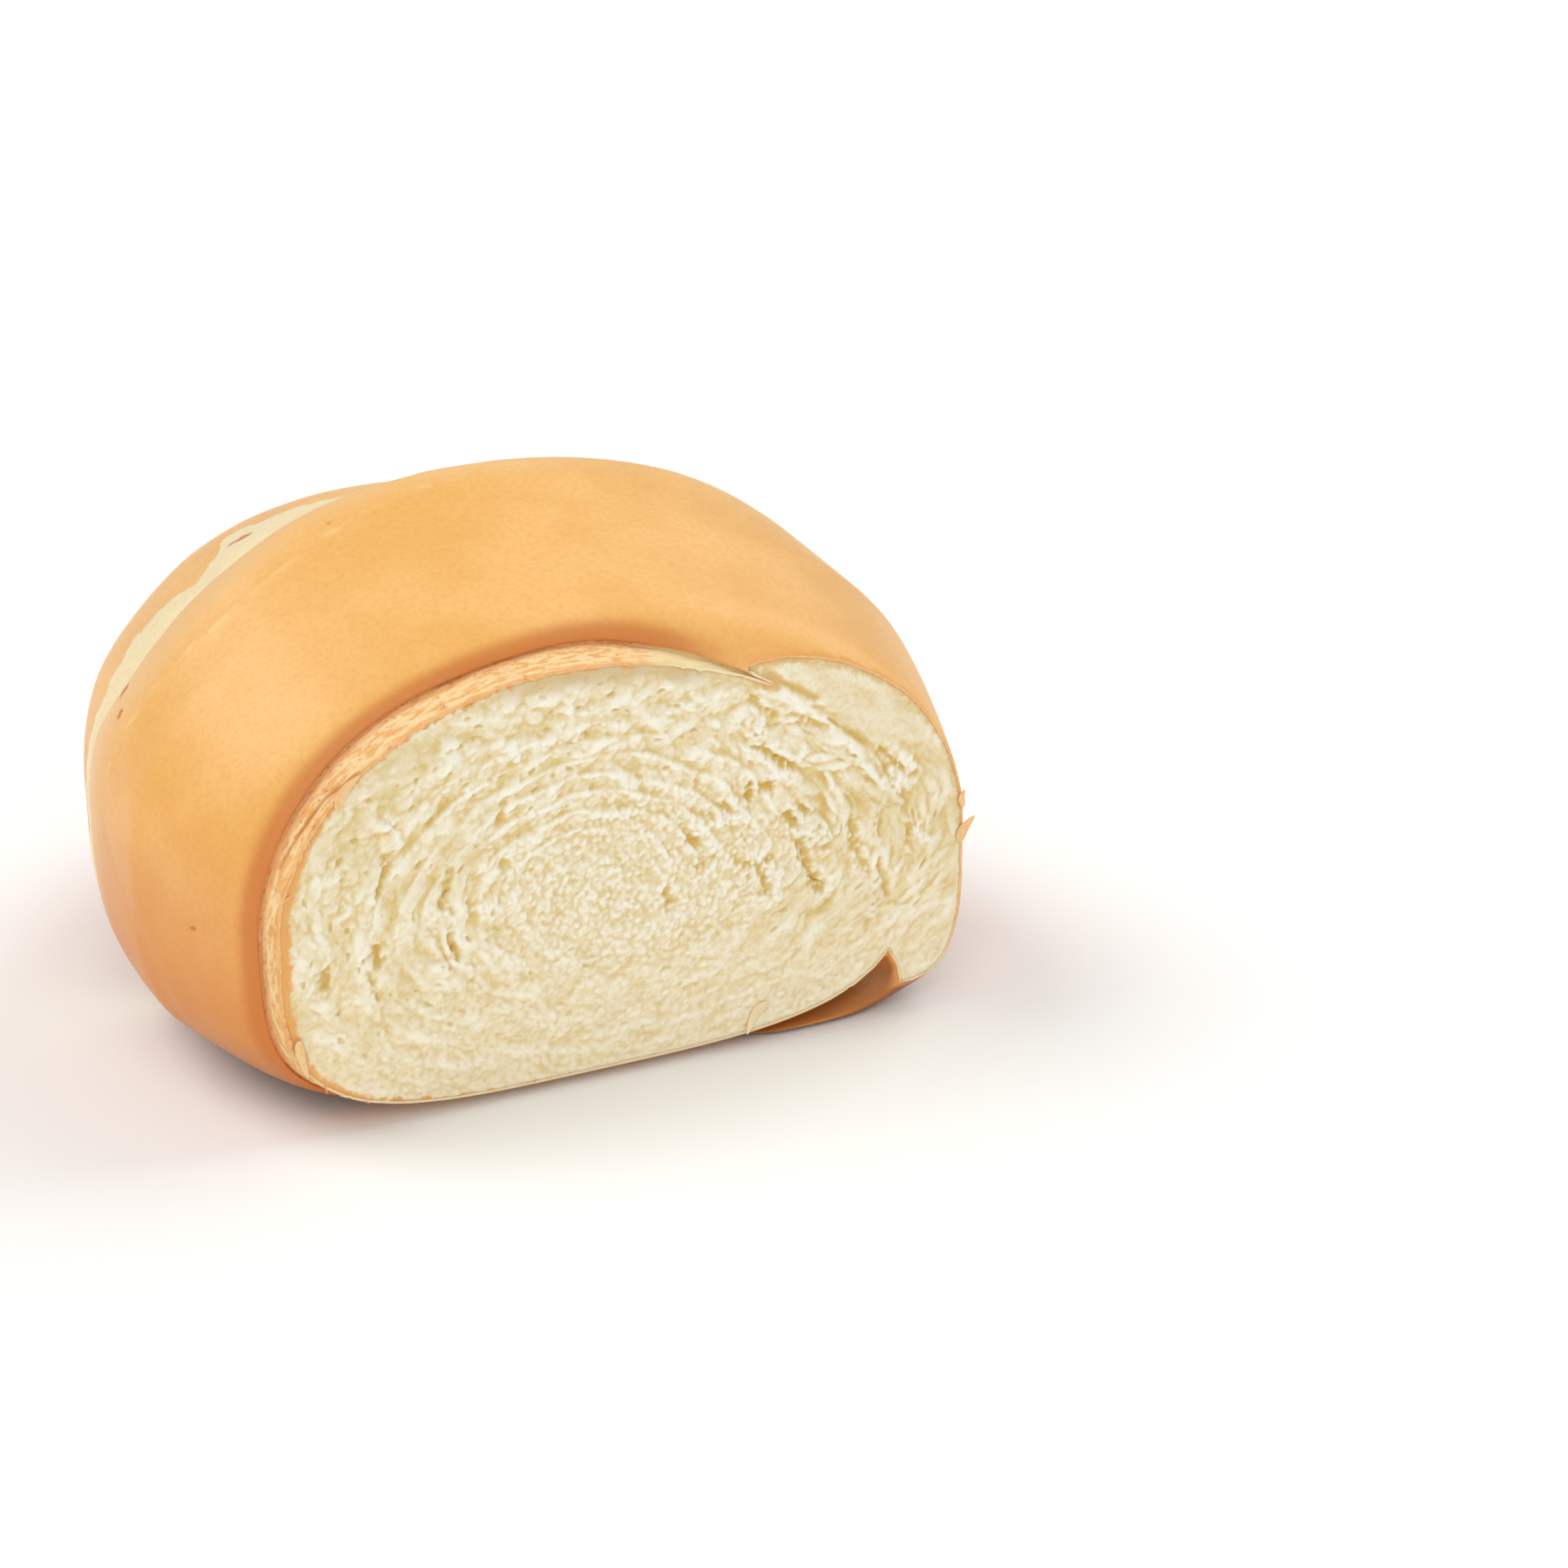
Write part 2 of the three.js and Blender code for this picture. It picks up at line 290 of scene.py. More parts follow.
# %% The lip's section
LIP_SECTION = [
    (4.5, 0), (2.2, 0.04), (0.5, 0.1), (0, 0.2), (0.5, 0.38), (2, 0.62), (4.6, 0.84), (8, 0.96), (12, 1),
]
FAT_LIP_SECTION = [
    (4.5, 0), (4.0, 0.1), (2.8, 0.26), (1.1, 0.42), (0, 0.6), (0.5, 0.76), (1.8, 0.89), (4, 0.97), (8, 1),
]
SLOT_CORNER = 3  # the corner of a lip's section from which it is rounded, not slotted


def lip_corner(t, angle):
    """How far back the lip's section is at corner t, and at which share from the inner to the outer skin."""
    (back, share), (fat_back, fat_share) = (
        [np.interp(t, np.arange(len(section)), column) for column in zip(*section)]
        for section in (LIP_SECTION, FAT_LIP_SECTION)
    )
    back = back * (lip_rounding(angle) if t >= SLOT_CORNER else slot_depth(angle) / LIP_SECTION[0][0])
    fat = np.clip(fat_lip(angle), 0, 1)
    return back + (fat_back - back) * fat, share + (fat_share - share) * fat


print("the lip's front, mm back and share out:", [round(float(v[0]), 2) for v in lip_corner(3, all_round)])

# %% Rows of the wrapped layer and the lip
LAYER_ROWS = 26
LAYER_OVERHANG = 0.6  # mm of layer in front of the cut, for the knife to take off
rows = []  # (points, mm round the roll, mm behind the lip's front, 1 on the wrapped layer)


def add_row(angle, y, skin, wrapped=0.0):
    """Notes one row of points, from the skin's (x, z) at its angles."""
    x, z = skin
    y = np.broadcast_to(y, angle.shape)
    run = fine_runs if len(angle) == len(fine_runs) else fine_runs[::2]
    rows.append((np.stack([x, y, z], axis=1), run, y - lip_y(angle), np.broadcast_to(wrapped, angle.shape)))


layer_start = np.minimum(0, lip_y(fine_angles)) - LAYER_OVERHANG
layer_end = lip_y(fine_angles) + lip_corner(0, fine_angles)[0]
for t in np.linspace(0, 1, LAYER_ROWS):
    y = layer_start + (layer_end - layer_start) * t
    add_row(fine_angles, y, inner_skin(y, fine_angles), 1.0)

for t in np.arange(0.5, len(LIP_SECTION) - 0.9, 0.5):
    back, share = lip_corner(t, coarse_angles)
    y = lip_y(coarse_angles) + back
    inner, outer = np.array(inner_skin(y, coarse_angles)), np.array(outer_skin(y, coarse_angles))
    add_row(coarse_angles, y, inner + (outer - inner) * share, 1.0 - smooth(share, 0.02, 0.1))
print("rows of the layer and the lip:", len(rows))

# %% Rows behind the lip
STATIONS = {"band": 26, "edge": 16, "strip": 20, "layer": 18, "step": 9, "tail": 36}  # rows in each part
STRIP_REACH = 1.3  # strip widths over which the strip fades into the next layer
POLE_GAP = 0.02


def add_rows(count, y_from, y_to, ease=lambda t: t):
    """Notes count rows of the outer skin, which end at y_to. The ease spaces them."""
    for i in range(count):
        y = y_from + (y_to - y_from) * ease((i + 1) / count)
        add_row(coarse_angles, y, outer_skin(y, coarse_angles, depth_behind_band(y, coarse_angles)))


band_start = lip_y(coarse_angles) + lip_corner(len(LIP_SECTION) - 1, coarse_angles)[0]
strip = strip_y(coarse_angles)
strip_end = strip + STRIP_REACH * strip_width(coarse_angles)
step = back_step_y(coarse_angles)
add_rows(STATIONS["band"], band_start, strip - BAND_EDGE)
add_rows(STATIONS["edge"], strip - BAND_EDGE, strip)
add_rows(STATIONS["strip"], strip, strip_end)
add_rows(STATIONS["layer"], strip_end, step - STEP_RUN)
add_rows(STATIONS["step"], step - STEP_RUN, step + 1)
tail_end = np.full(ROUND_STEPS, TAIL_Y - POLE_GAP)
add_rows(STATIONS["tail"], step + 1, tail_end, lambda t: math.sin(t * math.pi / 2))
print("rows:", len(rows), "points:", sum(len(row[0]) for row in rows))

# %% Faces between the rows
starts = np.concatenate([[0], np.cumsum([len(row[0]) for row in rows])])
faces = []
for i, (row, after) in enumerate(zip(rows[:-1], rows[1:])):
    a, b = starts[i], starts[i + 1]
    j = np.arange(len(after[0]))
    k = (j + 1) % len(after[0])
    if len(row[0]) == len(after[0]):
        faces += np.stack([a + j, b + j, b + k, a + k], axis=1).tolist()
    else:
        middle, far = 2 * j + 1, 2 * k
        faces += np.stack([a + 2 * j, b + j, a + middle], axis=1).tolist()
        faces += np.stack([a + middle, b + j, b + k], axis=1).tolist()
        faces += np.stack([a + middle, b + k, a + far], axis=1).tolist()
j = np.arange(ROUND_STEPS)
tail_pole = np.full(ROUND_STEPS, int(starts[-1]))
faces += np.stack([starts[-2] + j, tail_pole, starts[-2] + (j + 1) % ROUND_STEPS], axis=1).tolist()
print("faces:", len(faces))

# %% Each point's place on the skin
for i in range(1, len(rows)):  # behind the lip's front, count along the skin
    if len(rows[i][0]) == len(rows[i - 1][0]) and np.all(rows[i][3] < 1):
        walked = rows[i - 1][2] + np.linalg.norm(rows[i][0] - rows[i - 1][0], axis=1)
        rows[i] = (*rows[i][:2], np.where(rows[i][3] > 0, 0, walked), rows[i][3])
points = np.vstack([row[0] for row in rows] + [[[MIDDLE_X, TAIL_Y, TAIL_TIP_Z]]])
run, lip_gap, wrapped = (
    np.concatenate([row[i] for row in rows] + [[last]]) for i, last in ((1, 0.0), (2, TAIL_Y), (3, 0.0))
)
angles_of_rows = [fine_angles if len(row[0]) == len(fine_angles) else coarse_angles for row in rows]
angle_of = np.concatenate(angles_of_rows + [[0.0]])
print("points on the wrapped layer:", int(wrapped.sum()))

# %% [markdown]
# ## Small forms of the crust
#
# A baked skin is never a perfect oval. It swells and dimples by a few tenths of a millimetre, the band
# has a faint ridge where the dough was pinched, and the wrapped layer, stretched by the oven, is cracked
# along the roll and has one long slit. Each of these moves the points along the surface's own direction.

# %% Directions that point out of the crust
def mesh_of(name, points, faces, attributes=()):
    """A mesh with named values, or named directions, on its points."""
    mesh = bpy.data.meshes.new(name)
    mesh.from_pydata(points.tolist(), [], faces)
    for title, values in attributes:
        values = np.asarray(values, np.float32)
        kind, key = ("FLOAT", "value") if values.ndim == 1 else ("FLOAT_VECTOR", "vector")
        mesh.attributes.new(title, kind, "POINT").data.foreach_set(key, values.ravel())
    mesh.update()
    return mesh


def outward(points, faces):
    """The direction that points out of the surface at each point."""
    mesh = mesh_of("directions", points, faces)
    normals = np.zeros(len(points) * 3, np.float32)
    mesh.vertices.foreach_get("normal", normals)
    bpy.data.meshes.remove(mesh)
    return normals.reshape(-1, 3).astype(float)


normals = outward(points, faces)
print("mean direction at the top:", normals[points[:, 2] > 105].mean(axis=0).round(2))

# %% Lines on the rolled-out skin
flat = np.stack([run, points[:, 1], np.zeros(len(run))], axis=1)  # the skin rolled out flat
degrees_of = np.degrees(angle_of)
above_base = smooth(points[:, 2], 0.5, 12)
on_band = 1 - wrapped

PINCHES = [  # height, half the width, then the line's (degrees, y) corners
    (0.32, 0.9, [(98, 63), (110, 60), (121, 56), (135, 53), (147, 55.5), (156, 57), (166, 60)]),
    (-0.22, 2.2, [(178, 58), (182, 43), (189, 35), (204, 33.5), (216, 33)]),
]
SLIT = [(140, 0.6), (147, 2.4), (154, 2.6), (163, 3.4)]


def run_at(degrees):
    """Millimetres round the roll to an angle."""
    return np.interp(math.radians(degrees), fine_angles, fine_runs)


def near_line(corners, half_width):
    """From 0 to 1, how near the skin is to a line of (degrees, y) corners, seen rolled out flat."""
    line = np.array([(run_at(degrees), y) for degrees, y in corners])
    gap = np.full(len(flat), 1e9)
    for start, end in zip(line[:-1], line[1:]):
        from_start = flat[:, :2] - start
        share = np.clip(from_start @ (end - start) / np.sum((end - start) ** 2), 0, 1)
        gap = np.minimum(gap, np.hypot(*(from_start - share[:, None] * (end - start)).T))
    return np.exp(-((gap / half_width) ** 2))


# The slit is dented into the layer, and its darker coat in the material is painted shade in the slit.
slit_and_shade = near_line(SLIT, 0.4) * wrapped
print("points in the slit:", int((slit_and_shade > 0.5).sum()))

# %% Swellings, the pinched ridge and the cracks
swelling = 0.24 * noise_at(points, 26, 1) + 0.08 * noise_at(points, 8, 2) + 0.03 * noise_at(points, 2.6, 3)
pinched = np.zeros(len(points))
for height, half_width, corners in PINCHES:
    pinched += height * near_line(corners, half_width)

long_streaks = noise_at(flat, (11, 1.0, 1), 5)
short_streaks = noise_at(flat, (3.2, 0.8, 1), 6)
cracks = smooth(1 - np.abs(noise_at(flat, (9, 1.5, 1), 7) * 2.6), 0.62, 0.95)
cracks *= smooth(noise_at(flat, (14, 4, 1), 9), -0.2, 0.3)
scales = 0.14 * long_streaks + 0.10 * short_streaks - 0.30 * cracks - 0.45 * slit_and_shade

lift = above_base * (on_band * (swelling + pinched) + wrapped * scales)
print("relief, mm:", round(lift.min(), 2), "to", round(lift.max(), 2))

# %% Tears along the strip
TEARS = [  # degrees, y, half the length along the roll, half the width
    (123.7, 93.2, 3.4, 1.5), (154.7, 69.6, 1.7, 1.3), (157.7, 64.8, 1.2, 1.1), (112.7, 63, 1.5, 0.7),
    (119.8, 26.5, 2.6, 0.35), (134.9, 116, 1.3, 1.6), (180.3, 20.5, 0.32, 0.35),
]
TEAR_DEPTH = 0.3
ALLOWANCE = 0.1  # the whole skin sinks by this, so that its swellings stay inside the solid's box

torn = np.zeros(len(points))
ragged = 1 + 0.5 * noise_at(flat, 1.4, 10)
for degrees, y, half_length, half_width in TEARS:
    along, across = (run - run_at(degrees)) / half_length, (points[:, 1] - y) / half_width
    torn = np.maximum(torn, ragged * np.exp(-(along**2) - across**2))
lift = lift - TEAR_DEPTH * torn
points = points + normals * (lift - ALLOWANCE * above_base)[:, None]
print("torn points:", int((torn > 0.5).sum()))

# %% What the colours will follow
past_strip = points[:, 1] - strip_y(angle_of)
cream_left = cream_width(angle_of) - past_strip
# Deeper orange along the crease under the lip: partly its browning, partly painted shade of the crease.
crease_browning_and_shade = smooth(lip_gap, 7.5, 1.5) * smooth(lip_gap, -3.5, -0.5) * (1 - 0.6 * fat_lip(angle_of))
crease_browning_and_shade *= smooth(degrees_of, 60, 85)
bare = (1 - smooth(degrees_of, 76, 90)) * smooth(lip_gap, 3, 0.5) + wrapped * smooth(degrees_of, 340, 350)
bare = np.clip(bare, 0, 1)
# Brown on the downward faces near the base is partly its browning and partly painted shade; under the fat lip
# low on the right it is painted shade.
underside = smooth(points[:, 2], 13, 2) * smooth(-normals[:, 2], 0.1, 0.7)
shade_under_lip = np.clip(fat_lip(angle_of), 0, 1) * smooth(lip_gap, 22, 4) * smooth(points[:, 2], 26, 16)
browned_and_shaded = np.maximum(underside, shade_under_lip)
# A painted highlight: a lighter line along the pinched ridge.
ridge_highlight = near_line(PINCHES[0][2], 0.45) * smooth(noise_at(flat, 5, 12), -1.0, -0.1)
# A paler band in front of the torn strip, stronger higher up: partly pale skin, partly painted sheen.
pale_and_sheen_before_strip = smooth(past_strip, -19, -3) * (1 - smooth(past_strip, 0, 1)) * smooth(points[:, 2], 2, 50)
pale_and_sheen_before_strip *= 0.8 + 0.25 * noise_at(points, 14, 11)
print("browned share:", round(float(browned_and_shaded.mean()), 3))

# %% Where the layer flakes, and which way its flakes lie
flaky = wrapped * smooth(points[:, 1], 4, 1) * smooth(degrees_of, 95, 120) * (angle_of < math.pi * 1.35)
round_the_roll = np.stack([-np.sin(angle_of), 0 * angle_of, np.cos(angle_of)], axis=1)
print("flaky share of the skin:", round(float(flaky.mean()), 3))

# %% [markdown]
# ## The knife's cut
#
# The skin is cut by a plane, like the real loaf. The cut leaves an open outline. Inside it goes a rim as
# thick as the crust, and then a recess, which the crumb fills in the next step. A Boolean could make the
# recess, but walking along the outline keeps every point's own values and gives clean strips of faces.

# %% Cut the skin
crust_values = {
    "run": run, "lip_gap": lip_gap, "wrapped": wrapped, "past_strip": past_strip, "cream_left": cream_left,
    "crease_browning_and_shade": crease_browning_and_shade, "bare": bare, "browned_and_shaded": browned_and_shaded, "pale_and_sheen_before_strip": pale_and_sheen_before_strip, "torn": torn, "slit_and_shade": slit_and_shade,
    "ridge_highlight": ridge_highlight, "rim": np.zeros(len(run)),
}
flake_values = {"flaky": flaky, "way": round_the_roll}
mesh = mesh_of("loaf_crust", points, faces, [*crust_values.items(), *flake_values.items()])
bm = bmesh.new()
bm.from_mesh(mesh)
whole = bm.verts[:] + bm.edges[:] + bm.faces[:]
bmesh.ops.bisect_plane(bm, geom=whole, dist=1e-5, plane_co=(0, 0, 0), plane_no=(0, 1, 0), clear_inner=True)


def walk(edges):
    """The corners of a closed loop of edges, in order, and the edges that it doesn't reach.

    It starts at the first edge of the list, since a set's own order changes from run to run.
    """
    loop, unreached = list(edges[0].verts), set(edges[1:])
    while True:
        ahead = [e for e in loop[-1].link_edges if e in unreached]
        if not ahead:
            break
        unreached.discard(ahead[0])
        loop.append(ahead[0].other_vert(loop[-1]))
    return loop[:-1] if loop[-1] is loop[0] else loop, unreached


outline, left_over = walk([e for e in bm.edges if e.is_boundary])
print("outline:", len(outline), "corners, not reached:", len(left_over))

# %% Distances to a closed line on the cut
LINE_STEP = 0.12


def signed_area(loop):
    x, z = loop.T
    return 0.5 * np.sum(x * np.roll(z, -1) - np.roll(x, -1) * z)


def line_tree(loop):
    """A search tree of closely spaced points on a closed line of (x, z) corners."""
    dense = []
    for a, b in zip(loop, np.roll(loop, -1, axis=0)):
        count = max(1, int(np.hypot(*(b - a)) / LINE_STEP))
        dense += [a + (b - a) * i / count for i in range(count)]
    tree = KDTree(len(dense))
    for i, (x, z) in enumerate(dense):
        tree.insert((x, 0, z), i)
    tree.balance()
    return tree


outline_xz = np.array([(v.co.x, v.co.z) for v in outline])
if signed_area(outline_xz) < 0:
    outline, outline_xz = outline[::-1], outline_xz[::-1]
outline_tree = line_tree(outline_xz)
print("cut face, cm2:", round(signed_area(outline_xz) / 100, 1))

# %% How far the rim can reach inward
CRUST_THICKNESS = 0.55
RECESS_DEPTH = 8.0
RIM_STEPS = (0.35, 0.7, 1.0)  # shares of the rim's width
RIM_RAGGED = 0.18
INSET_STEP = 0.05

along = np.roll(outline_xz, -1, axis=0) - np.roll(outline_xz, 1, axis=0)
inward = np.stack([-along[:, 1], along[:, 0]], axis=1) / np.maximum(np.hypot(*along.T), 1e-9)[:, None]
reach = np.zeros(len(outline_xz))
for i, (place, way) in enumerate(zip(outline_xz, inward)):
    for inset in np.arange(INSET_STEP, CRUST_THICKNESS + 0.01, INSET_STEP):
        x, z = place + way * inset
        if outline_tree.find((x, 0, z))[2] < 0.9 * inset - 0.02:  # nearer to the far side of a narrow slot
            break
        reach[i] = inset
for _ in range(3):
    reach = np.minimum(reach, (np.roll(reach, 1) + reach + np.roll(reach, -1)) / 3 + 0.03)
print("rim, mm:", reach.min().round(2), "to", reach.max().round(2))


# %% The rim and the recess
def join_loops(bm, before, after):
    """A closed strip of faces between two loops of as many points."""
    for i in range(len(before)):
        k = (i + 1) % len(before)
        bm.faces.new((before[i], before[k], after[k], after[i]))


def close(bm, loop):
    """Fills the last loop, and turns all faces outwards."""
    bmesh.ops.triangulate(bm, faces=[bm.faces.new(loop)])
    bmesh.ops.recalc_face_normals(bm, faces=bm.faces[:])
    print("closed:", all(e.is_manifold for e in bm.edges), "volume, cm3:", round(bm.calc_volume() / 1000))


loops = [outline]
ragged = noise_at(np.stack([outline_xz[:, 0], outline_xz[:, 1], outline_xz[:, 0] * 0], axis=1), 1.1, 20)
for share in RIM_STEPS:
    inner = outline_xz + inward * (reach * share)[:, None]
    loops.append([
        bm.verts.new((x, RIM_RAGGED * r * share, z), edge) for (x, z), r, edge in zip(inner, ragged, outline)
    ])
loops.append([bm.verts.new((x, RECESS_DEPTH, z), edge) for (x, z), edge in zip(inner, outline)])
for before, after in zip(loops[:-1], loops[1:]):
    join_loops(bm, before, after)
close(bm, loops[-1])

rim_layer = bm.verts.layers.float["rim"]
for share, loop in zip((0.0, *RIM_STEPS, 1.0), loops):
    for vert in loop:
        vert[rim_layer] = 0.05 + share if share else 0.0


# %% Make the crust an object
def add_piece(name, mesh):
    """An object for a mesh, at the origin."""
    piece = bpy.data.objects.new(name, mesh)
    bpy.context.scene.collection.objects.link(piece)
    return piece


def finish_piece(name, bm, mesh):
    """Moves the shape from the script's millimetres to its place in the part, and makes it an object."""
    bm.to_mesh(mesh)
    bm.free()
    co = np.zeros(len(mesh.vertices) * 3, np.float32)
    mesh.vertices.foreach_get("co", co)
    mesh.vertices.foreach_set("co", ((co.reshape(-1, 3) + TO_PART) * MM).astype(np.float32).ravel())
    mesh.update()
    mesh.shade_smooth()
    print(name, "triangles:", sum(len(p.vertices) - 2 for p in mesh.polygons))
    return add_piece(name, mesh)


crust = finish_piece("loaf_crust", bm, mesh)

# %% [markdown]
# ## The crumb
#
# Torn crumb is a foam: cells between thin walls, drawn out along the layers of the roll. A texture of
# dents would look flat from the side, so the crumb is a relief of real points, under 0.4 mm apart. Its
# pattern starts as random grain of several sizes. Each grain is then combed: it is averaged along the
# direction of the layers, which draws round bumps out into tears that follow the scroll. The direction
# itself wavers, or the tears would look ruled. Over the middle, the layers turn round a point of their
# own, the eye of the scroll, and end in a few even steps.

# %% The grid and the scroll's direction
CRUMB_STEP = 0.38
SCROLL = {"x": 6, "z": 43, "left": 76, "right": 77, "up": 46, "down": 42}
TURN_SHARE = 60  # brings the wide scroll's slopes near the eye's, so that the two blend
EYE = {"x": -7, "z": 40, "wide": 1.35}
EYE_END = 34, 44  # mm from the eye where its turns fade into the wide scroll's
LAYER_GAP = 3.7  # mm from one turn to the next
WAVER = 0.55  # radians

grid_x, grid_z = np.meshgrid(np.arange(-80, 88, CRUMB_STEP), np.arange(-1, 96, CRUMB_STEP), indexing="ij")
across = (grid_x - SCROLL["x"]) / np.where(grid_x < SCROLL["x"], SCROLL["left"], SCROLL["right"])
up = (grid_z - SCROLL["z"]) / np.where(grid_z < SCROLL["z"], SCROLL["down"], SCROLL["up"])
out = np.hypot(across, up)
turn = np.degrees(np.arctan2(up, across))
print("crumb grid:", grid_x.shape)


# %% Which way the layers run
def grid_noise(size, seed):
    """Noise from -1 to 1 on the grid of the cut face."""
    flat_grid = np.stack([grid_x.ravel(), grid_z.ravel(), np.zeros(grid_x.size)], axis=1)
    return noise_at(flat_grid, size, seed).reshape(grid_x.shape)


eye_x, eye_z = (grid_x - EYE["x"]) / EYE["wide"], grid_z - EYE["z"]
from_eye = np.hypot(eye_x, eye_z)
in_eye = smooth(up, -0.1, 0.1) * (1 - smooth(from_eye, *EYE_END))
heading = np.arctan2(
    (1 - in_eye) * across / SCROLL["right"] / out * TURN_SHARE + in_eye * eye_x / EYE["wide"] / from_eye,
    -((1 - in_eye) * up / SCROLL["up"] / out * TURN_SHARE + in_eye * eye_z / from_eye),
)
heading += WAVER * grid_noise(6, 30)
way_x, way_z = np.cos(heading), np.sin(heading)
print("share of the face round the eye:", round(float(in_eye.mean()), 2))


# %% Inside or outside a line, and how far
def depth_inside(loop, tree):
    """Millimetres from each grid point to a closed line, above zero inside it."""
    (x, z), (next_x, next_z) = loop.T, np.roll(loop, -1, axis=0).T
    inside = np.zeros(grid_x.shape, bool)
    for column in range(grid_x.shape[1]):
        level = grid_z[0, column] + 1e-7
        crossing = (z > level) != (next_z > level)
        share = (level - z[crossing]) / (next_z[crossing] - z[crossing])
        at = x[crossing] + share * (next_x[crossing] - x[crossing])
        inside[:, column] = np.searchsorted(np.sort(at), grid_x[:, column]) % 2 == 1
    gap = np.array([tree.find((px, 0, pz))[2] for px, pz in zip(grid_x.ravel(), grid_z.ravel())])
    return np.where(inside, 1, -1) * gap.reshape(grid_x.shape)


depth_in = depth_inside(outline_xz, outline_tree)
wrapped_line = np.stack(inner_skin(np.zeros(720), np.linspace(0, 2 * np.pi, 720, endpoint=False)), axis=1)
past_layer = -depth_inside(wrapped_line, line_tree(wrapped_line))
inside = depth_in > 0
print("deepest point of the crumb, mm from the crust:", round(depth_in.max(), 1))

# %% Grain
wave_x = np.fft.fftfreq(grid_x.shape[0], CRUMB_STEP)[:, None]
wave_z = np.fft.rfftfreq(grid_x.shape[1], CRUMB_STEP)[None, :]
waves = np.hypot(wave_x, wave_z)
print("shortest bump that the grid can hold, mm:", round(1 / waves.max(), 2))


def blur(field, size):
    """The field with its bumps smaller than size millimetres smoothed away."""
    return np.fft.irfft2(np.fft.rfft2(field) * np.exp(-2 * (np.pi * waves * size) ** 2), field.shape)


def grain(fine, coarse, seed):
    """Random bumps between fine and coarse millimetres in size."""
    white = np.random.default_rng(seed).standard_normal(grid_x.shape)
    field = blur(white, fine / 2.5) - blur(white, coarse / 2.5)
    return field / field.std()


# %% Combing
COMB_END = 1.8  # reaches, beyond which a point's weight is near nothing
EVEN_OUT = 6  # mm over which a combed field keeps an even strength
print("steps of a 3 mm comb each way:", int(COMB_END * 3 / CRUMB_STEP))


def look_up(field, i, j):
    """The field's value between its grid points."""
    i = np.clip(i, 0, field.shape[0] - 1.001)
    j = np.clip(j, 0, field.shape[1] - 1.001)
    a, b = i.astype(int), j.astype(int)
    u, v = i - a, j - b
    near = field[a, b] * (1 - u) + field[a + 1, b] * u
    far = field[a, b + 1] * (1 - u) + field[a + 1, b + 1] * u
    return near * (1 - v) + far * v


def comb(field, reach):
    """The field averaged along the layers, over about reach millimetres each way."""
    total, weights = field.copy(), np.ones(field.shape)
    for sign in (1, -1):
        i, j = (a.astype(float) for a in np.indices(field.shape))
        for count in range(1, int(COMB_END * np.max(reach) / CRUMB_STEP) + 1):
            step_x, step_z = look_up(way_x, i, j), look_up(way_z, i, j)
            i, j = i + sign * step_x, j + sign * step_z
            weight = np.exp(-((count * CRUMB_STEP / reach) ** 2))
            total += weight * look_up(field, i, j)
            weights += weight
    combed = total / weights
    return combed / np.sqrt(blur(combed**2, EVEN_OUT))


# %% Tufts
def tufts(spacing, width, length, seed):
    """Soft mounds from 0 to 1, drawn out along the layers. The higher one counts where two overlap.

    Each stands higher along one side, like a torn leaf that leans on the next.
    """
    rng = np.random.default_rng(seed)
    count = int(grid_x.size * (CRUMB_STEP / spacing) ** 2)
    i, j = rng.integers(0, grid_x.shape[0], count), rng.integers(0, grid_x.shape[1], count)
    size = rng.uniform(0.6, 1.3, count)
    half_length, half_width = 0.5 * size * (length + 0 * grid_x)[i, j], 0.5 * size * width
    angle = heading[i, j] + rng.normal(0, 0.35, count)
    top, tilt = rng.uniform(0.45, 1, count), rng.uniform(-0.5, 0.5, count)
    window = int(np.max(half_length) / CRUMB_STEP) + 1
    i, j, half_length, half_width, angle, top, tilt = (
        a[:, None, None] for a in (i, j, half_length, half_width, angle, top, tilt)
    )
    di, dj = np.mgrid[-window : window + 1, -window : window + 1]
    u = (di * np.cos(angle) + dj * np.sin(angle)) * CRUMB_STEP / half_length
    v = (dj * np.cos(angle) - di * np.sin(angle)) * CRUMB_STEP / half_width
    mounds = top * np.clip(1 - u * u - v * v, 0, 1) ** 0.7 * (1 + tilt * v)
    field = np.zeros(grid_x.shape)
    at = np.clip(i + di, 0, grid_x.shape[0] - 1), np.clip(j + dj, 0, grid_x.shape[1] - 1)
    np.maximum.at(field, at, mounds)
    return field


print("grid points in a 3 mm tuft:", round((3 / CRUMB_STEP) ** 2))

# %% Where the crumb is calm, fine or stretched
calm_centre = 1 - smooth(out, 0.3, 0.55)
near_crust = 1 - smooth(depth_in, 1.0, 6)
low_part = 1 - smooth(grid_z, 10, 30)
right_side = smooth(grid_x, 24, 48) * (1 - low_part)
left_side = smooth(-grid_x, 18, 40) * (1 - 0.6 * low_part)
band_section = smooth(past_layer, -1.0, 1.5) * smooth(grid_x, 20, 34)
smooth_band = band_section * smooth(grid_z, 50, 66)
torn_share = (1 - 0.8 * calm_centre) * (1 - 0.6 * near_crust) * (1 - 0.85 * low_part)
torn_share *= 1 - 0.9 * smooth_band
print("share of torn crumb:", round(float(torn_share[inside].mean()), 2))

# %% Grains of the relief
big = tufts(3.2, 3.4, 5.5 + 5 * right_side, 31)
middling = tufts(1.5, 1.8, 2.8 + 3.5 * right_side, 32)
small = tufts(1.05, 1.3, 1.4 + 0.8 * low_part, 33)
terraces = comb(grain(4, 12, 34), 3.0)
holes = comb(grain(1.2, 2.8, 35), 0.9 + 1.5 * right_side)
print("share of the crumb under big tufts:", round(float((big > 0)[inside].mean()), 2))

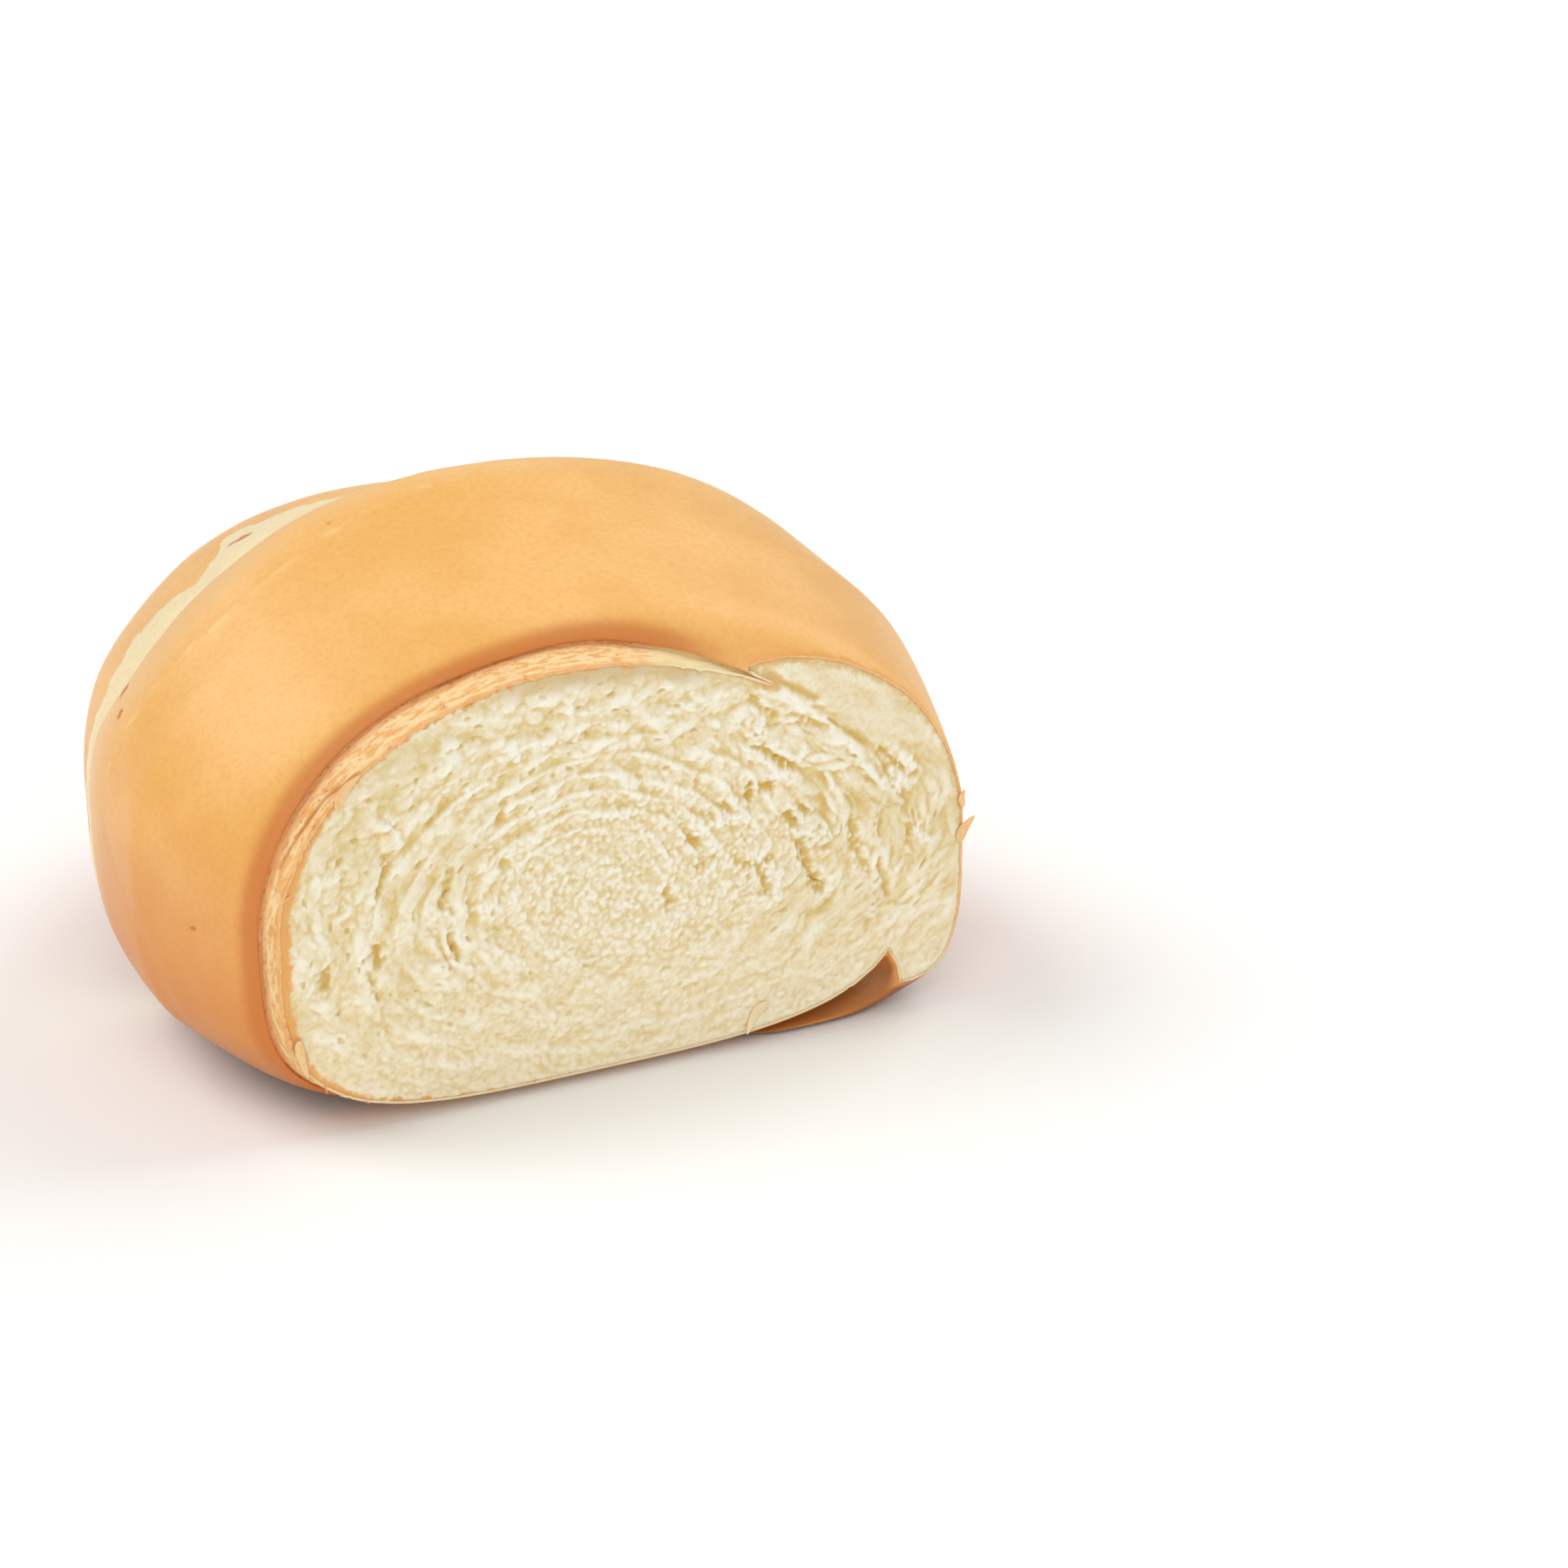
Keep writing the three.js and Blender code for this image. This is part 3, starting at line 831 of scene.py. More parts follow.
# %% Steps where the turns of the scroll end
turns = (from_eye + (out * SCROLL["down"] - from_eye) * smooth(up, 0.05, -0.15)) / LAYER_GAP - 0.19
turns += 0.25 * grid_noise(9, 36)
steps = comb((turns % 1) ** 2 - 0.33, 1.2) * (0.6 + 0.4 * grid_noise(6, 38))
round_eye = smooth(from_eye, 12, 15) * (1 - smooth(from_eye, 32, 44)) * smooth(up, -0.1, 0.1)
below_eye = 0.4 * smooth(out, 0.5, 0.6) * smooth(up, -0.1, -0.3)
step_zone = np.maximum(round_eye * (1 - 0.4 * right_side), below_eye) * (1 - near_crust)
print("share of the face with steps:", round(float((step_zone[inside] > 0.2).mean()), 2))

# %% The relief, in millimetres
relief = (
    (0.44 + 0.34 * right_side) * torn_share * big
    + (0.07 + 0.2 * torn_share + 0.17 * calm_centre + 0.09 * low_part) * middling
    + (0.13 + 0.24 * calm_centre + 0.16 * low_part) * (1 - 0.3 * band_section) * small
    + (0.12 + 0.14 * torn_share) * terraces
    + 0.2 * step_zone * steps
    - (0.05 + 0.5 * torn_share) * smooth(holes, 1.5, 2.8)
)
relief -= blur(relief, 8)
print("crumb relief, mm:", round(float(relief[inside].min()), 2), "to", round(float(relief[inside].max()), 2))

# %% The big tears and flaps, and the line where the wrapped layer ends
TORN_OUT = [  # from x, z to x, z, half the width, depth
    (-51.5, 50, -49.5, 57, 0.8, 1.7), (-53, 38.5, -53, 35.5, 0.9, 1.6), (-64, 35.5, -64, 33, 1.1, 1.6),
    (-54.5, 33.5, -53, 28, 0.7, 1.1), (-37, 51.5, -38.5, 45, 0.8, 1.4), (-37, 38.5, -35.5, 33, 0.6, 1.5),
    (-39.5, 37.5, -37.5, 31.5, 0.5, 0.9), (-59, 56.5, -60, 48, 0.8, 0.6), (-41, 62.5, -37, 66, 0.8, 0.9),
    (-25, 64, -26, 60, 0.9, 1.0), (-26.5, 52.5, -24.5, 51, 1.0, 0.9), (10.5, 38.5, 11.5, 36, 0.9, 1.3),
    (32.5, 65.5, 39, 60.5, 0.9, 1.6), (30.5, 76, 36, 72, 0.7, 1.0), (30.5, 58, 30, 55, 0.9, 1.5),
    (33, 57, 34, 57, 1.0, 1.3), (41.5, 51.5, 43, 50, 0.9, 1.5), (38.5, 50, 40, 48.5, 0.9, 1.5),
    (23, 55, 25, 54, 0.7, 1.2), (16, 48.5, 17.5, 48, 0.9, 1.2), (18.5, 43, 21.5, 44, 0.9, 1.1),
    (26.5, 41.5, 32, 40, 0.8, 0.8), (33.5, 41, 35, 41, 0.9, 1.3), (33, 39.5, 33.5, 34, 0.8, 1.5),
    (41.5, 43, 46, 33, 1.1, 2.0), (54, 45.5, 56.5, 35.5, 1.0, 1.4), (60.5, 35.5, 62.5, 28, 0.7, 1.3),
    (67.5, 42, 67, 39, 0.8, 0.8), (60.5, 60.5, 65.5, 56, 0.7, 1.1), (39.5, 72, 47.5, 68, 0.6, 0.8),
]
STANDING = [  # the same, with a height
    (42, 48, 46.5, 43.5, 2.0, 2.2), (66, 56, 64, 51, 2.2, 2.6), (58.5, 29.5, 58, 24.5, 1.2, 1.3),
    (69.5, 40.5, 72.5, 38.5, 1.4, 1.3), (45.5, 29, 48, 31.5, 1.2, 1.0), (-52, 64.5, -49.5, 64.5, 1.4, 1.3),
    (-49, 63.5, -47, 60, 0.8, 0.9), (-23, 76, -22, 73, 0.8, 1.1), (-37, 77.5, -35.5, 78, 1.2, 0.9),
    (-10, 83, -10.5, 81.5, 0.9, 1.0), (-15.5, 75.5, -3.5, 75, 1.0, 0.7), (-34, 43.5, -27.5, 42, 1.2, 0.9),
    (-63, 38.5, -67.5, 32, 0.4, 1.0), (-38.5, 39.5, -38, 35, 0.4, 1.0), (-52.5, 55, -54, 49, 1.0, 0.7),
    (18.5, 51.5, 22, 51.5, 1.3, 1.3), (25.5, 51.5, 27, 51.5, 1.2, 1.0), (31.5, 69.5, 32, 71, 1.2, 1.1),
    (35, 60.5, 37.5, 59.5, 1.5, 1.2), (41, 62, 42.5, 64, 0.8, 1.0), (53, 63, 61, 52.5, 0.7, 1.1),
    (36, 37, 36, 32.5, 0.8, 1.0), (-5.5, 58.5, 5.5, 57.5, 1.0, 0.9), (59, 48.5, 59, 41, 1.0, 0.8),
]
END_GROOVE = 34, 81.2, 45, 74.5, 0.8  # the same without a depth
print("tears:", len(TORN_OUT), "flaps:", len(STANDING))

# %% Lay the tears and flaps on the relief
edge_wander = 1.25 + 0.55 * grid_noise(1.6, 39)


def stroke(x, z, to_x, to_z, half_width, edge):
    """From 0 to 1, how much of a straight stroke covers each grid point, with a ragged edge."""
    length2 = (to_x - x) ** 2 + (to_z - z) ** 2
    share = np.clip(((grid_x - x) * (to_x - x) + (grid_z - z) * (to_z - z)) / length2, 0, 1)
    gap = np.hypot(grid_x - x - share * (to_x - x), grid_z - z - share * (to_z - z))
    return np.exp(-((gap / half_width / edge_wander) ** edge))


standing = np.zeros(grid_x.shape)
for *line, height in STANDING:
    standing = np.maximum(standing, 0.75 * height * stroke(*line, 2.2))
relief += standing * (0.7 + 0.5 * small)
for *line, depth in TORN_OUT:
    relief -= 0.85 * depth * stroke(*line, 1.7) * (1.15 - 0.6 * small)
layer_end_share = smooth(grid_x, 34, 44) * smooth(grid_z, 34, 60)
relief -= 0.4 * layer_end_share * np.exp(-(((past_layer + 0.6) / 0.9) ** 2))
relief += 0.45 * layer_end_share * np.exp(-(((past_layer + 2.6) / 1.4) ** 2))
groove = stroke(*END_GROOVE, 1.6)
relief -= 0.9 * groove
relief = np.clip(relief, -3.2, 2.4) * smooth(depth_in, 0.3, 2.2)
print("with its tears, mm:", round(float(relief.min()), 2), "to", round(float(relief.max()), 2))

# %% Lean the tears over
TEAR_LEAN = 0.35  # mm sideways for each mm of relief
lean = TEAR_LEAN * (0.4 + 0.6 * torn_share) * smooth(depth_in, 1.2, 4) * relief
side = np.sign(grid_noise(14, 37))
crumb_x, crumb_z = grid_x - lean * way_z * side, grid_z + lean * way_x
print("furthest lean, mm:", round(float(np.abs(lean).max()), 2))

# %% What the crumb's colours will follow
# Painted shade: the more hollow a place is, the darker and more golden its colour, most in the deep pits.
below_near = blur(relief, 0.8) - relief
below_far = blur(relief, 2.5) - relief
hollow_shade = 0.6 * np.tanh(below_near / 0.35) + 0.4 * np.tanh(below_far / 0.7)
deep_pit_shade = smooth(below_far, 0.5, 1.6)
patches = 0.5 + 0.5 * grid_noise(7, 40)
shaded = smooth(depth_in + 2 * patches, 7, 1.5) * smooth(grid_z, 66, 86)
shaded *= 1 - smooth(np.abs(grid_x), 10, 40)
# Patchy, darker and yellower crumb towards the left and right sides.
darker_side_patches = patches * (0.8 * left_side + 0.8 * right_side * (1 - 0.8 * smooth(grid_z, 50, 66)))
print("hollow, three quarters of it between", np.percentile(hollow_shade[inside], [12, 88]).round(2))

# %% The edge that baked with the crust
baked_width = around([
    (0, 1.2), (30, 1.4), (46, 1.8), (56, 2.3), (66, 2.0), (74, 0.9), (110, 0.8), (140, 0.8), (156, 1.6),
    (170, 2.6), (185, 2.6), (205, 2.4), (222, 1.6), (245, 0.5), (300, 0.3), (340, 0.6),
])(np.radians(turn))
baked = smooth(depth_in + 0.5 * grid_noise(1.2, 41), 1.3 * baked_width + 0.5, 0.4 * baked_width)
# The groove where the wrapped layer ends takes the same tan: painted shade in the groove.
baked = np.maximum(baked, 0.6 * groove) * (1 - 0.3 * right_side)
print("baked share:", round(float(baked[inside].mean()), 3))

# %% The crumb's cells
SEAT = 0.1  # how far the crumb reaches into the crust's rim, so that no gap shows
EDGE_SINK, BACK_PAST = 0.1, 0.3  # how far its edge lies behind the cut, and its back past the recess
keep = depth_in > CRUST_THICKNESS - SEAT
cell_in = keep[:-1, :-1] & keep[1:, :-1] & keep[:-1, 1:] & keep[1:, 1:]
for _ in range(4):  # no two cells may touch at a corner alone
    a, b, c, d = cell_in[:-1, :-1], cell_in[1:, :-1], cell_in[:-1, 1:], cell_in[1:, 1:]
    cell_in[:-1, :-1] |= b & c & ~a & ~d
    cell_in[1:, :-1] |= a & d & ~b & ~c
print("cells:", int(cell_in.sum()))

used = np.zeros(grid_x.shape, bool)
for di, dj in np.ndindex(2, 2):
    used[di : di + cell_in.shape[0], dj : dj + cell_in.shape[1]] |= cell_in
number = np.where(used, np.cumsum(used).reshape(used.shape) - 1, -1)
i, j = np.nonzero(cell_in)
front_faces = np.stack([number[i, j], number[i + 1, j], number[i + 1, j + 1], number[i, j + 1]], axis=1)
front_points = np.stack([crumb_x[used], -relief[used], crumb_z[used]], axis=1)
crumb_values = {
    "hollow_shade": hollow_shade[used], "deep_pit_shade": deep_pit_shade[used], "shaded": shaded[used], "darker_side_patches": darker_side_patches[used],
    "baked": baked[used],
}
mesh = mesh_of("loaf_crumb", front_points, front_faces.tolist(), crumb_values.items())

# %% The crumb's block
bm = bmesh.new()
bm.from_mesh(mesh)
edge_loop, left_over = walk([e for e in bm.edges if e.is_boundary])
print("crumb outline:", len(edge_loop), "not reached:", len(left_over))
for vert in edge_loop:  # smooth the grid's staircase onto the rim's inner line
    near = outline_tree.find((vert.co.x, 0, vert.co.z))[0]
    away = Vector((vert.co.x - near.x, 0, vert.co.z - near.z)).normalized()
    vert.co.x, vert.co.z = (near + away * (CRUST_THICKNESS - SEAT)).xz
    vert.co.y = EDGE_SINK
back_loop = [bm.verts.new((v.co.x, RECESS_DEPTH + BACK_PAST, v.co.z)) for v in edge_loop]
join_loops(bm, edge_loop, back_loop)
close(bm, back_loop)
crumb = finish_piece("loaf_crumb", bm, mesh)

# %% [markdown]
# ## Materials
#
# A material here is a small net of nodes. One function turns the hex colours that a paint program shows
# into the linear numbers that the renderer adds up, and one function adds a node with its settings and
# its links. Colours go on in coats, as a baker's glaze would: each coat has a pattern that says where it
# lies, and how strongly.


# %% Colour and node helpers
def linear(hex_colour):
    """A hex colour as the renderer's linear red, green, blue and alpha."""
    parts = [int(hex_colour[i : i + 2], 16) / 255 for i in (1, 3, 5)]
    return tuple(p / 12.92 if p <= 0.04045 else ((p + 0.055) / 1.055) ** 2.4 for p in parts) + (1.0,)


print("mid grey is linear", round(linear("#808080")[0], 3))

def add_node(tree, kind, output, **values):
    """Adds a node and returns its output, or the node itself where output is None.

    A value named as one of the node's own properties is a setting. Any other goes into the input of
    that name, or of the number after an "i", and a socket is linked from.
    """
    node = tree.nodes.new(kind)
    for name, value in values.items():
        if hasattr(node, name):
            setattr(node, name, value)
            continue
        socket = node.inputs[int(name[1:]) if name[1:].isdigit() else name.replace("_", " ")]
        if isinstance(value, bpy.types.NodeSocket):
            tree.links.new(value, socket)
        else:
            socket.default_value = value
    return node if output is None else node.outputs[output]


# %% Coats of colour
def paint(tree, colour, coats):
    """Lays coats over a colour: (pattern, where it starts, where it is full, how strong, colour)."""
    for pattern, start, full, strength, coat in coats:
        share = add_node(
            tree, "ShaderNodeMapRange", "Result", interpolation_type="SMOOTHSTEP",
            Value=pattern, From_Min=start, From_Max=full, To_Min=0.0, To_Max=strength,
        )
        under, over = (linear(c) if isinstance(c, str) else c for c in (colour, coat))
        colour = add_node(tree, "ShaderNodeMix", 2, data_type="RGBA", i0=share, i6=under, i7=over)
    return colour


# %% A new material
def start_material(name, attributes=()):
    """A material with its net, its place on the object, and the named values of the mesh's points."""
    material = bpy.data.materials.new(name)
    material.use_nodes = True
    net = material.node_tree
    where = add_node(net, "ShaderNodeTexCoord", "Object")
    place = add_node(net, "ShaderNodeSeparateXYZ", None, Vector=where).outputs
    value = {title: add_node(net, "ShaderNodeAttribute", "Fac", attribute_name=title) for title in attributes}
    return material, net, where, place, value


def finish_material(mesh, material, links, settings):
    """Links outputs to the shader, sets its other inputs by name, and gives the mesh the material."""
    shader = material.node_tree.nodes["Principled BSDF"]
    for title, output in links.items():
        material.node_tree.links.new(output, shader.inputs[title])
    for title, setting in settings.items():
        shader.inputs[title].default_value = setting
    mesh.materials.append(material)
    print(material.name, "nodes:", len(material.node_tree.nodes))


# %% [markdown]
# ### Baked wheat crust
#
# The crust is dough that dried and browned: starch and sugars give it a satin skin, golden where the
# heat reached it evenly, pale and dull where it tore open late. The deep orange in the crease under the
# lip, the brown under the lip and the base and the deeper orange low down are partly browning and partly
# painted shade. The paler band before the torn strip is partly pale skin and partly painted sheen, and
# the light line on the pinched ridge is a painted highlight.
# Light goes a little way in, so it has some subsurface scattering. Most dry foods have an index of
# refraction of about 1.45. A porous skin shines less than a solid one, so here it is 1.36, with a thin
# coat for the gloss that the steam left.

# %% The crust's patterns
crust_material, net, where, place, value = start_material("baked_wheat_crust", crust_values)
uneven_bake = add_node(net, "ShaderNodeTexNoise", "Fac", Vector=where, Scale=1 / (24 * MM), Detail=2.0)
mottle = add_node(net, "ShaderNodeTexNoise", "Fac", Vector=where, Scale=1 / (1.3 * MM), Detail=3.0)
# A wavy height. The two coats that read it turn the gold deeper orange and brown low on the skin: partly
# browning, partly painted shade.
height_for_low_shade = add_node(
    net, "ShaderNodeMath", 0, operation="MULTIPLY_ADD", i0=uneven_bake, i1=16 * MM, i2=place["Z"],
)
print("values that the crust's net reads:", ", ".join(value))

# %% The golden skin
golden = paint(net, "#EBB261", [
    (uneven_bake, 0.35, 0.65, 1.0, "#F1BB70"),
    (mottle, 0.35, 0.75, 0.3, "#DD9A45"),
    # Painted shade with browning towards the base.
    (height_for_low_shade, 0.085, 0.025, 0.85, "#D6843A"),
    (height_for_low_shade, 0.030, 0.012, 0.6, "#AE6127"),
    # Painted shade with browning under the base and under the lip.
    (value["browned_and_shaded"], 0.0, 1.0, 0.9, "#8E5826"),
    (value["pale_and_sheen_before_strip"], 0.0, 1.0, 0.7, "#EBC48E"),
    # Painted highlight on the pinched ridge.
    (value["ridge_highlight"], 0.0, 1.0, 0.45, "#F8D698"),
    # The crease's deep orange: partly browning, partly painted shade.
    (value["crease_browning_and_shade"], 0.0, 1.0, 0.78, "#CA722E"),
])
print("nodes so far:", len(net.nodes))

# %% The wrapped layer, streaked along the roll
STREAK_LENGTH_SHARE = 5.0  # streaks are this many times as long as wide
run_m = add_node(net, "ShaderNodeMath", 0, operation="MULTIPLY", i0=value["run"], i1=MM)
across_roll = add_node(net, "ShaderNodeMath", 0, operation="MULTIPLY", i0=place["Y"], i1=STREAK_LENGTH_SHARE)
rolled_out = add_node(net, "ShaderNodeCombineXYZ", 0, X=run_m, Y=across_roll, Z=place["Z"])
streaks = add_node(
    net, "ShaderNodeTexNoise", "Fac", Vector=rolled_out, Scale=1 / (5 * MM), Detail=4.0, Roughness=0.62,
)
pores = add_node(net, "ShaderNodeTexNoise", "Fac", Vector=rolled_out, Scale=1 / (1.8 * MM), Detail=2.0)
pores = add_node(net, "ShaderNodeMath", 0, operation="MULTIPLY_ADD", i0=value["lip_gap"], i1=0.018, i2=pores)
layer = paint(net, "#E5A963", [
    (streaks, 0.40, 0.56, 1.0, "#EFD09A"),
    # Painted shade: the layer is darker where it runs into the lip's slot.
    (value["lip_gap"], -2.0, -0.5, 0.8, "#DFA066"),
    # Painted shade: the slit is darkened as well as dented.
    (value["slit_and_shade"], 0.1, 0.8, 0.6, "#B96E30"),
    (pores, 0.56, 0.66, 0.7, "#C8733A"),
    (value["bare"], 0.0, 1.0, 0.85, "#E9D7A4"),
])
colour = paint(net, golden, [(value["wrapped"], 0.0, 1.0, 1.0, layer)])
cut_y = TO_PART[1] * MM
cut_edge = add_node(
    net, "ShaderNodeMapRange", "Result", Value=place["Y"],
    From_Min=cut_y + 1.2 * MM, From_Max=cut_y + 0.2 * MM,
)
cut_edge = add_node(net, "ShaderNodeMath", 0, operation="SUBTRACT", i0=cut_edge, i1=value["bare"])
colour = paint(net, colour, [(cut_edge, 0.0, 1.0, 0.65, "#EBA660")])
print("nodes so far:", len(net.nodes))

# %% The torn strip, the tears and the cut edge
jagged = add_node(net, "ShaderNodeTexNoise", "Fac", Vector=where, Scale=1 / (5 * MM), Detail=4.0)
jagged = add_node(
    net, "ShaderNodeMath", 0, operation="MULTIPLY_ADD", i0=jagged, i1=9.0, i2=value["cream_left"],
)
cream = paint(net, "#F0DDB2", [(mottle, 0.35, 0.7, 0.45, "#E8CE98")])
beyond = paint(net, cream, [(jagged, 5.2, 3.9, 1.0, golden)])
colour = paint(net, colour, [
    (value["past_strip"], -0.6, 0.6, 1.0, beyond),
    (value["torn"], 0.2, 0.6, 0.95, "#CC7226"),
])
rim_colour = paint(net, "#EBB273", [
    (place["Z"], 0.022, 0.006, 0.9, "#EDDBB4"),
    (mottle, 0.4, 0.65, 0.5, "#F2CE98"),
    (value["bare"], 0.0, 1.0, 0.9, "#EFE2BC"),
])
colour = paint(net, colour, [(value["rim"], 0.02, 0.3, 1.0, rim_colour)])
print("nodes so far:", len(net.nodes))

# %% The crust's shine and grain
satin = add_node(
    net, "ShaderNodeMapRange", "Result", Value=uneven_bake,
    From_Min=0.3, From_Max=0.7, To_Min=0.38, To_Max=0.45,
)
dull = add_node(net, "ShaderNodeMath", 0, operation="MULTIPLY_ADD", i0=value["wrapped"], i1=0.3, i2=satin)
skin_grain = add_node(net, "ShaderNodeTexNoise", "Fac", Vector=where, Scale=1 / (0.7 * MM), Detail=3.0)
skin_bump = add_node(net, "ShaderNodeBump", 0, Height=skin_grain, Distance=0.12 * MM, Strength=0.9)
finish_material(crust.data, crust_material, {"Base Color": colour, "Roughness": dull, "Normal": skin_bump}, {
    "IOR": 1.36, "Coat Weight": 0.1, "Coat Roughness": 0.38, "Subsurface Weight": 0.15,
    "Subsurface Radius": (1.0, 0.5, 0.25), "Subsurface Scale": 1.5 * MM,
})

# %% [markdown]
# ### Torn white crumb
#
# Crumb is a soft foam of cooked starch. Its walls are thin, so light passes through them and comes out
# warmer, and it has strong subsurface scattering. Its colour also carries painted shade: raised tufts are
# cream-white, and the more hollow a place is, the darker and more golden it is painted, so holes look
# golden instead of black. Along the crust a narrow edge baked with it, and fades into the crumb in
# speckles; the tan in the groove where the wrapped layer ends is painted shade. Patches towards the
# left and right sides are darker and yellower. The finest cells, under a millimetre, are only a bump,
# because points close enough for them would be too many.

# %% The crumb's patterns
crumb_material, net, where, place, value = start_material("torn_white_crumb", crumb_values)
height = place["Z"]
fine_cells = add_node(
    net, "ShaderNodeTexNoise", "Fac", Vector=where, Scale=1 / (0.8 * MM), Detail=3.0, Roughness=0.6,
)
hollow_shade_with_cells = add_node(
    net, "ShaderNodeMath", 0, operation="MULTIPLY_ADD", i0=fine_cells, i1=0.5, i2=value["hollow_shade"],
)
speckled = add_node(
    net, "ShaderNodeMath", 0, operation="MULTIPLY_ADD", i0=value["baked"], i1=1.25, i2=fine_cells,
)
speckled = add_node(net, "ShaderNodeMath", 0, operation="SUBTRACT", i0=speckled, i1=0.6)
print("values that the crumb's net reads:", ", ".join(value))

# %% The crumb's colours
wall = paint(net, "#F5F2E4", [(height, 0.050, 0.012, 1.0, "#F6EFDB")])
# The pit colour is painted shade for the hollows.
pit_shade = paint(net, "#DDC27C", [
    (place["X"], 0.01, 0.05, 1.0, "#DABA6A"),
    (height, 0.050, 0.012, 1.0, "#E0C88C"),
])
crusty = paint(net, "#E6AC66", [(place["X"], -0.03, 0.03, 1.0, "#DDB878")])
colour = paint(net, wall, [
    (hollow_shade_with_cells, -0.55, 1.15, 1.0, pit_shade),
    (value["deep_pit_shade"], 0.0, 1.0, 0.75, "#DDB65A"),
    (value["shaded"], 0.0, 1.0, 0.75, "#CFB381"),
    (value["darker_side_patches"], 0.0, 1.0, 0.5, "#DCC688"),
    (speckled, 0.05, 1.0, 1.0, crusty),
])
crumb_bump = add_node(net, "ShaderNodeBump", 0, Height=fine_cells, Distance=0.3 * MM, Strength=0.6)
finish_material(crumb.data, crumb_material, {"Base Color": colour, "Normal": crumb_bump}, {
    "Roughness": 0.85, "IOR": 1.4, "Subsurface Weight": 0.5,
    "Subsurface Radius": (1.0, 0.95, 0.8), "Subsurface Scale": 1 * MM,
})

# %% [markdown]
# ## Flakes of crust
#
# Where the knife went through the wrapped layer, thin flakes of crust stand off it: two or three
# millimetres long, lying round the roll and curling up at the ends. There are many, so Geometry Nodes
# make them. The tree takes any mesh with two attributes, how flaky a place is and which way its flakes
# lie. It scatters points where the mesh is flaky, puts one small curled leaf on each, and gives every
# leaf its own size and tilt.

# %% The tree's inputs and its leaf
flake_tree = bpy.data.node_groups.new("curled_flakes", "GeometryNodeTree")
FLAKE_INPUTS = {
    "Geometry": "NodeSocketGeometry", "Spacing": "NodeSocketFloat", "Length": "NodeSocketFloat",
    "Width": "NodeSocketFloat", "Thickness": "NodeSocketFloat", "Curl": "NodeSocketFloat",
    "Seed": "NodeSocketInt", "Material": "NodeSocketMaterial",
}
for title, kind in FLAKE_INPUTS.items():
    flake_tree.interface.new_socket(title, in_out="INPUT", socket_type=kind)
flake_tree.interface.new_socket("Geometry", in_out="OUTPUT", socket_type="NodeSocketGeometry")
given = add_node(flake_tree, "NodeGroupInput", None).outputs

ball = add_node(flake_tree, "GeometryNodeMeshUVSphere", "Mesh", Segments=8, Rings=5, Radius=0.5)
leaf_size = add_node(
    flake_tree, "ShaderNodeCombineXYZ", 0, X=given["Length"], Y=given["Width"], Z=given["Thickness"],
)
leaf = add_node(flake_tree, "GeometryNodeTransform", 0, Geometry=ball, Scale=leaf_size)
position = add_node(flake_tree, "GeometryNodeInputPosition", 0)
along_leaf = add_node(flake_tree, "ShaderNodeSeparateXYZ", "X", Vector=position)
squared = add_node(flake_tree, "ShaderNodeMath", 0, operation="MULTIPLY", i0=along_leaf, i1=along_leaf)
bend = add_node(flake_tree, "ShaderNodeMath", 0, operation="DIVIDE", i0=squared, i1=given["Length"])
bend = add_node(flake_tree, "ShaderNodeMath", 0, operation="MULTIPLY", i0=bend, i1=given["Curl"])
lift_ends = add_node(flake_tree, "ShaderNodeCombineXYZ", 0, Z=bend)
leaf = add_node(flake_tree, "GeometryNodeSetPosition", 0, Geometry=leaf, Offset=lift_ends)
print("inputs of the tree:", ", ".join(FLAKE_INPUTS))

# %% Scatter and turn the leaves
MOST_PER_M2 = 4e5  # points tried, before the spacing thins them
flaky_here = add_node(flake_tree, "GeometryNodeInputNamedAttribute", 0, data_type="FLOAT", Name="flaky")
way_here = add_node(flake_tree, "GeometryNodeInputNamedAttribute", 0, data_type="FLOAT_VECTOR", Name="way")
scatter = add_node(
    flake_tree, "GeometryNodeDistributePointsOnFaces", None, distribute_method="POISSON",
    Mesh=given["Geometry"], Distance_Min=given["Spacing"], Density_Max=MOST_PER_M2,
    Density_Factor=flaky_here, Seed=given["Seed"],
)
upright = add_node(
    flake_tree, "FunctionNodeAlignRotationToVector", 0, axis="Z", Vector=scatter.outputs["Normal"],
)
lying = add_node(
    flake_tree, "FunctionNodeAlignRotationToVector", 0, axis="X", pivot_axis="Z",
    Rotation=upright, Vector=way_here,
)
tilt = add_node(
    flake_tree, "FunctionNodeRandomValue", 0, data_type="FLOAT_VECTOR",
    i0=(-0.7, -0.5, -0.5), i1=(0.7, 0.5, 0.5), Seed=given["Seed"],
)
tilt = add_node(flake_tree, "FunctionNodeEulerToRotation", 0, Euler=tilt)
lying = add_node(
    flake_tree, "FunctionNodeRotateRotation", 0, rotation_space="LOCAL", Rotation=lying, Rotate_By=tilt,
)
size = add_node(
    flake_tree, "FunctionNodeRandomValue", 1, data_type="FLOAT", i2=0.4, i3=1.1, Seed=given["Seed"],
)
leaves = add_node(
    flake_tree, "GeometryNodeInstanceOnPoints", 0,
    Points=scatter.outputs["Points"], Instance=leaf, Rotation=lying, Scale=size,
)
print("tree nodes so far:", len(flake_tree.nodes))

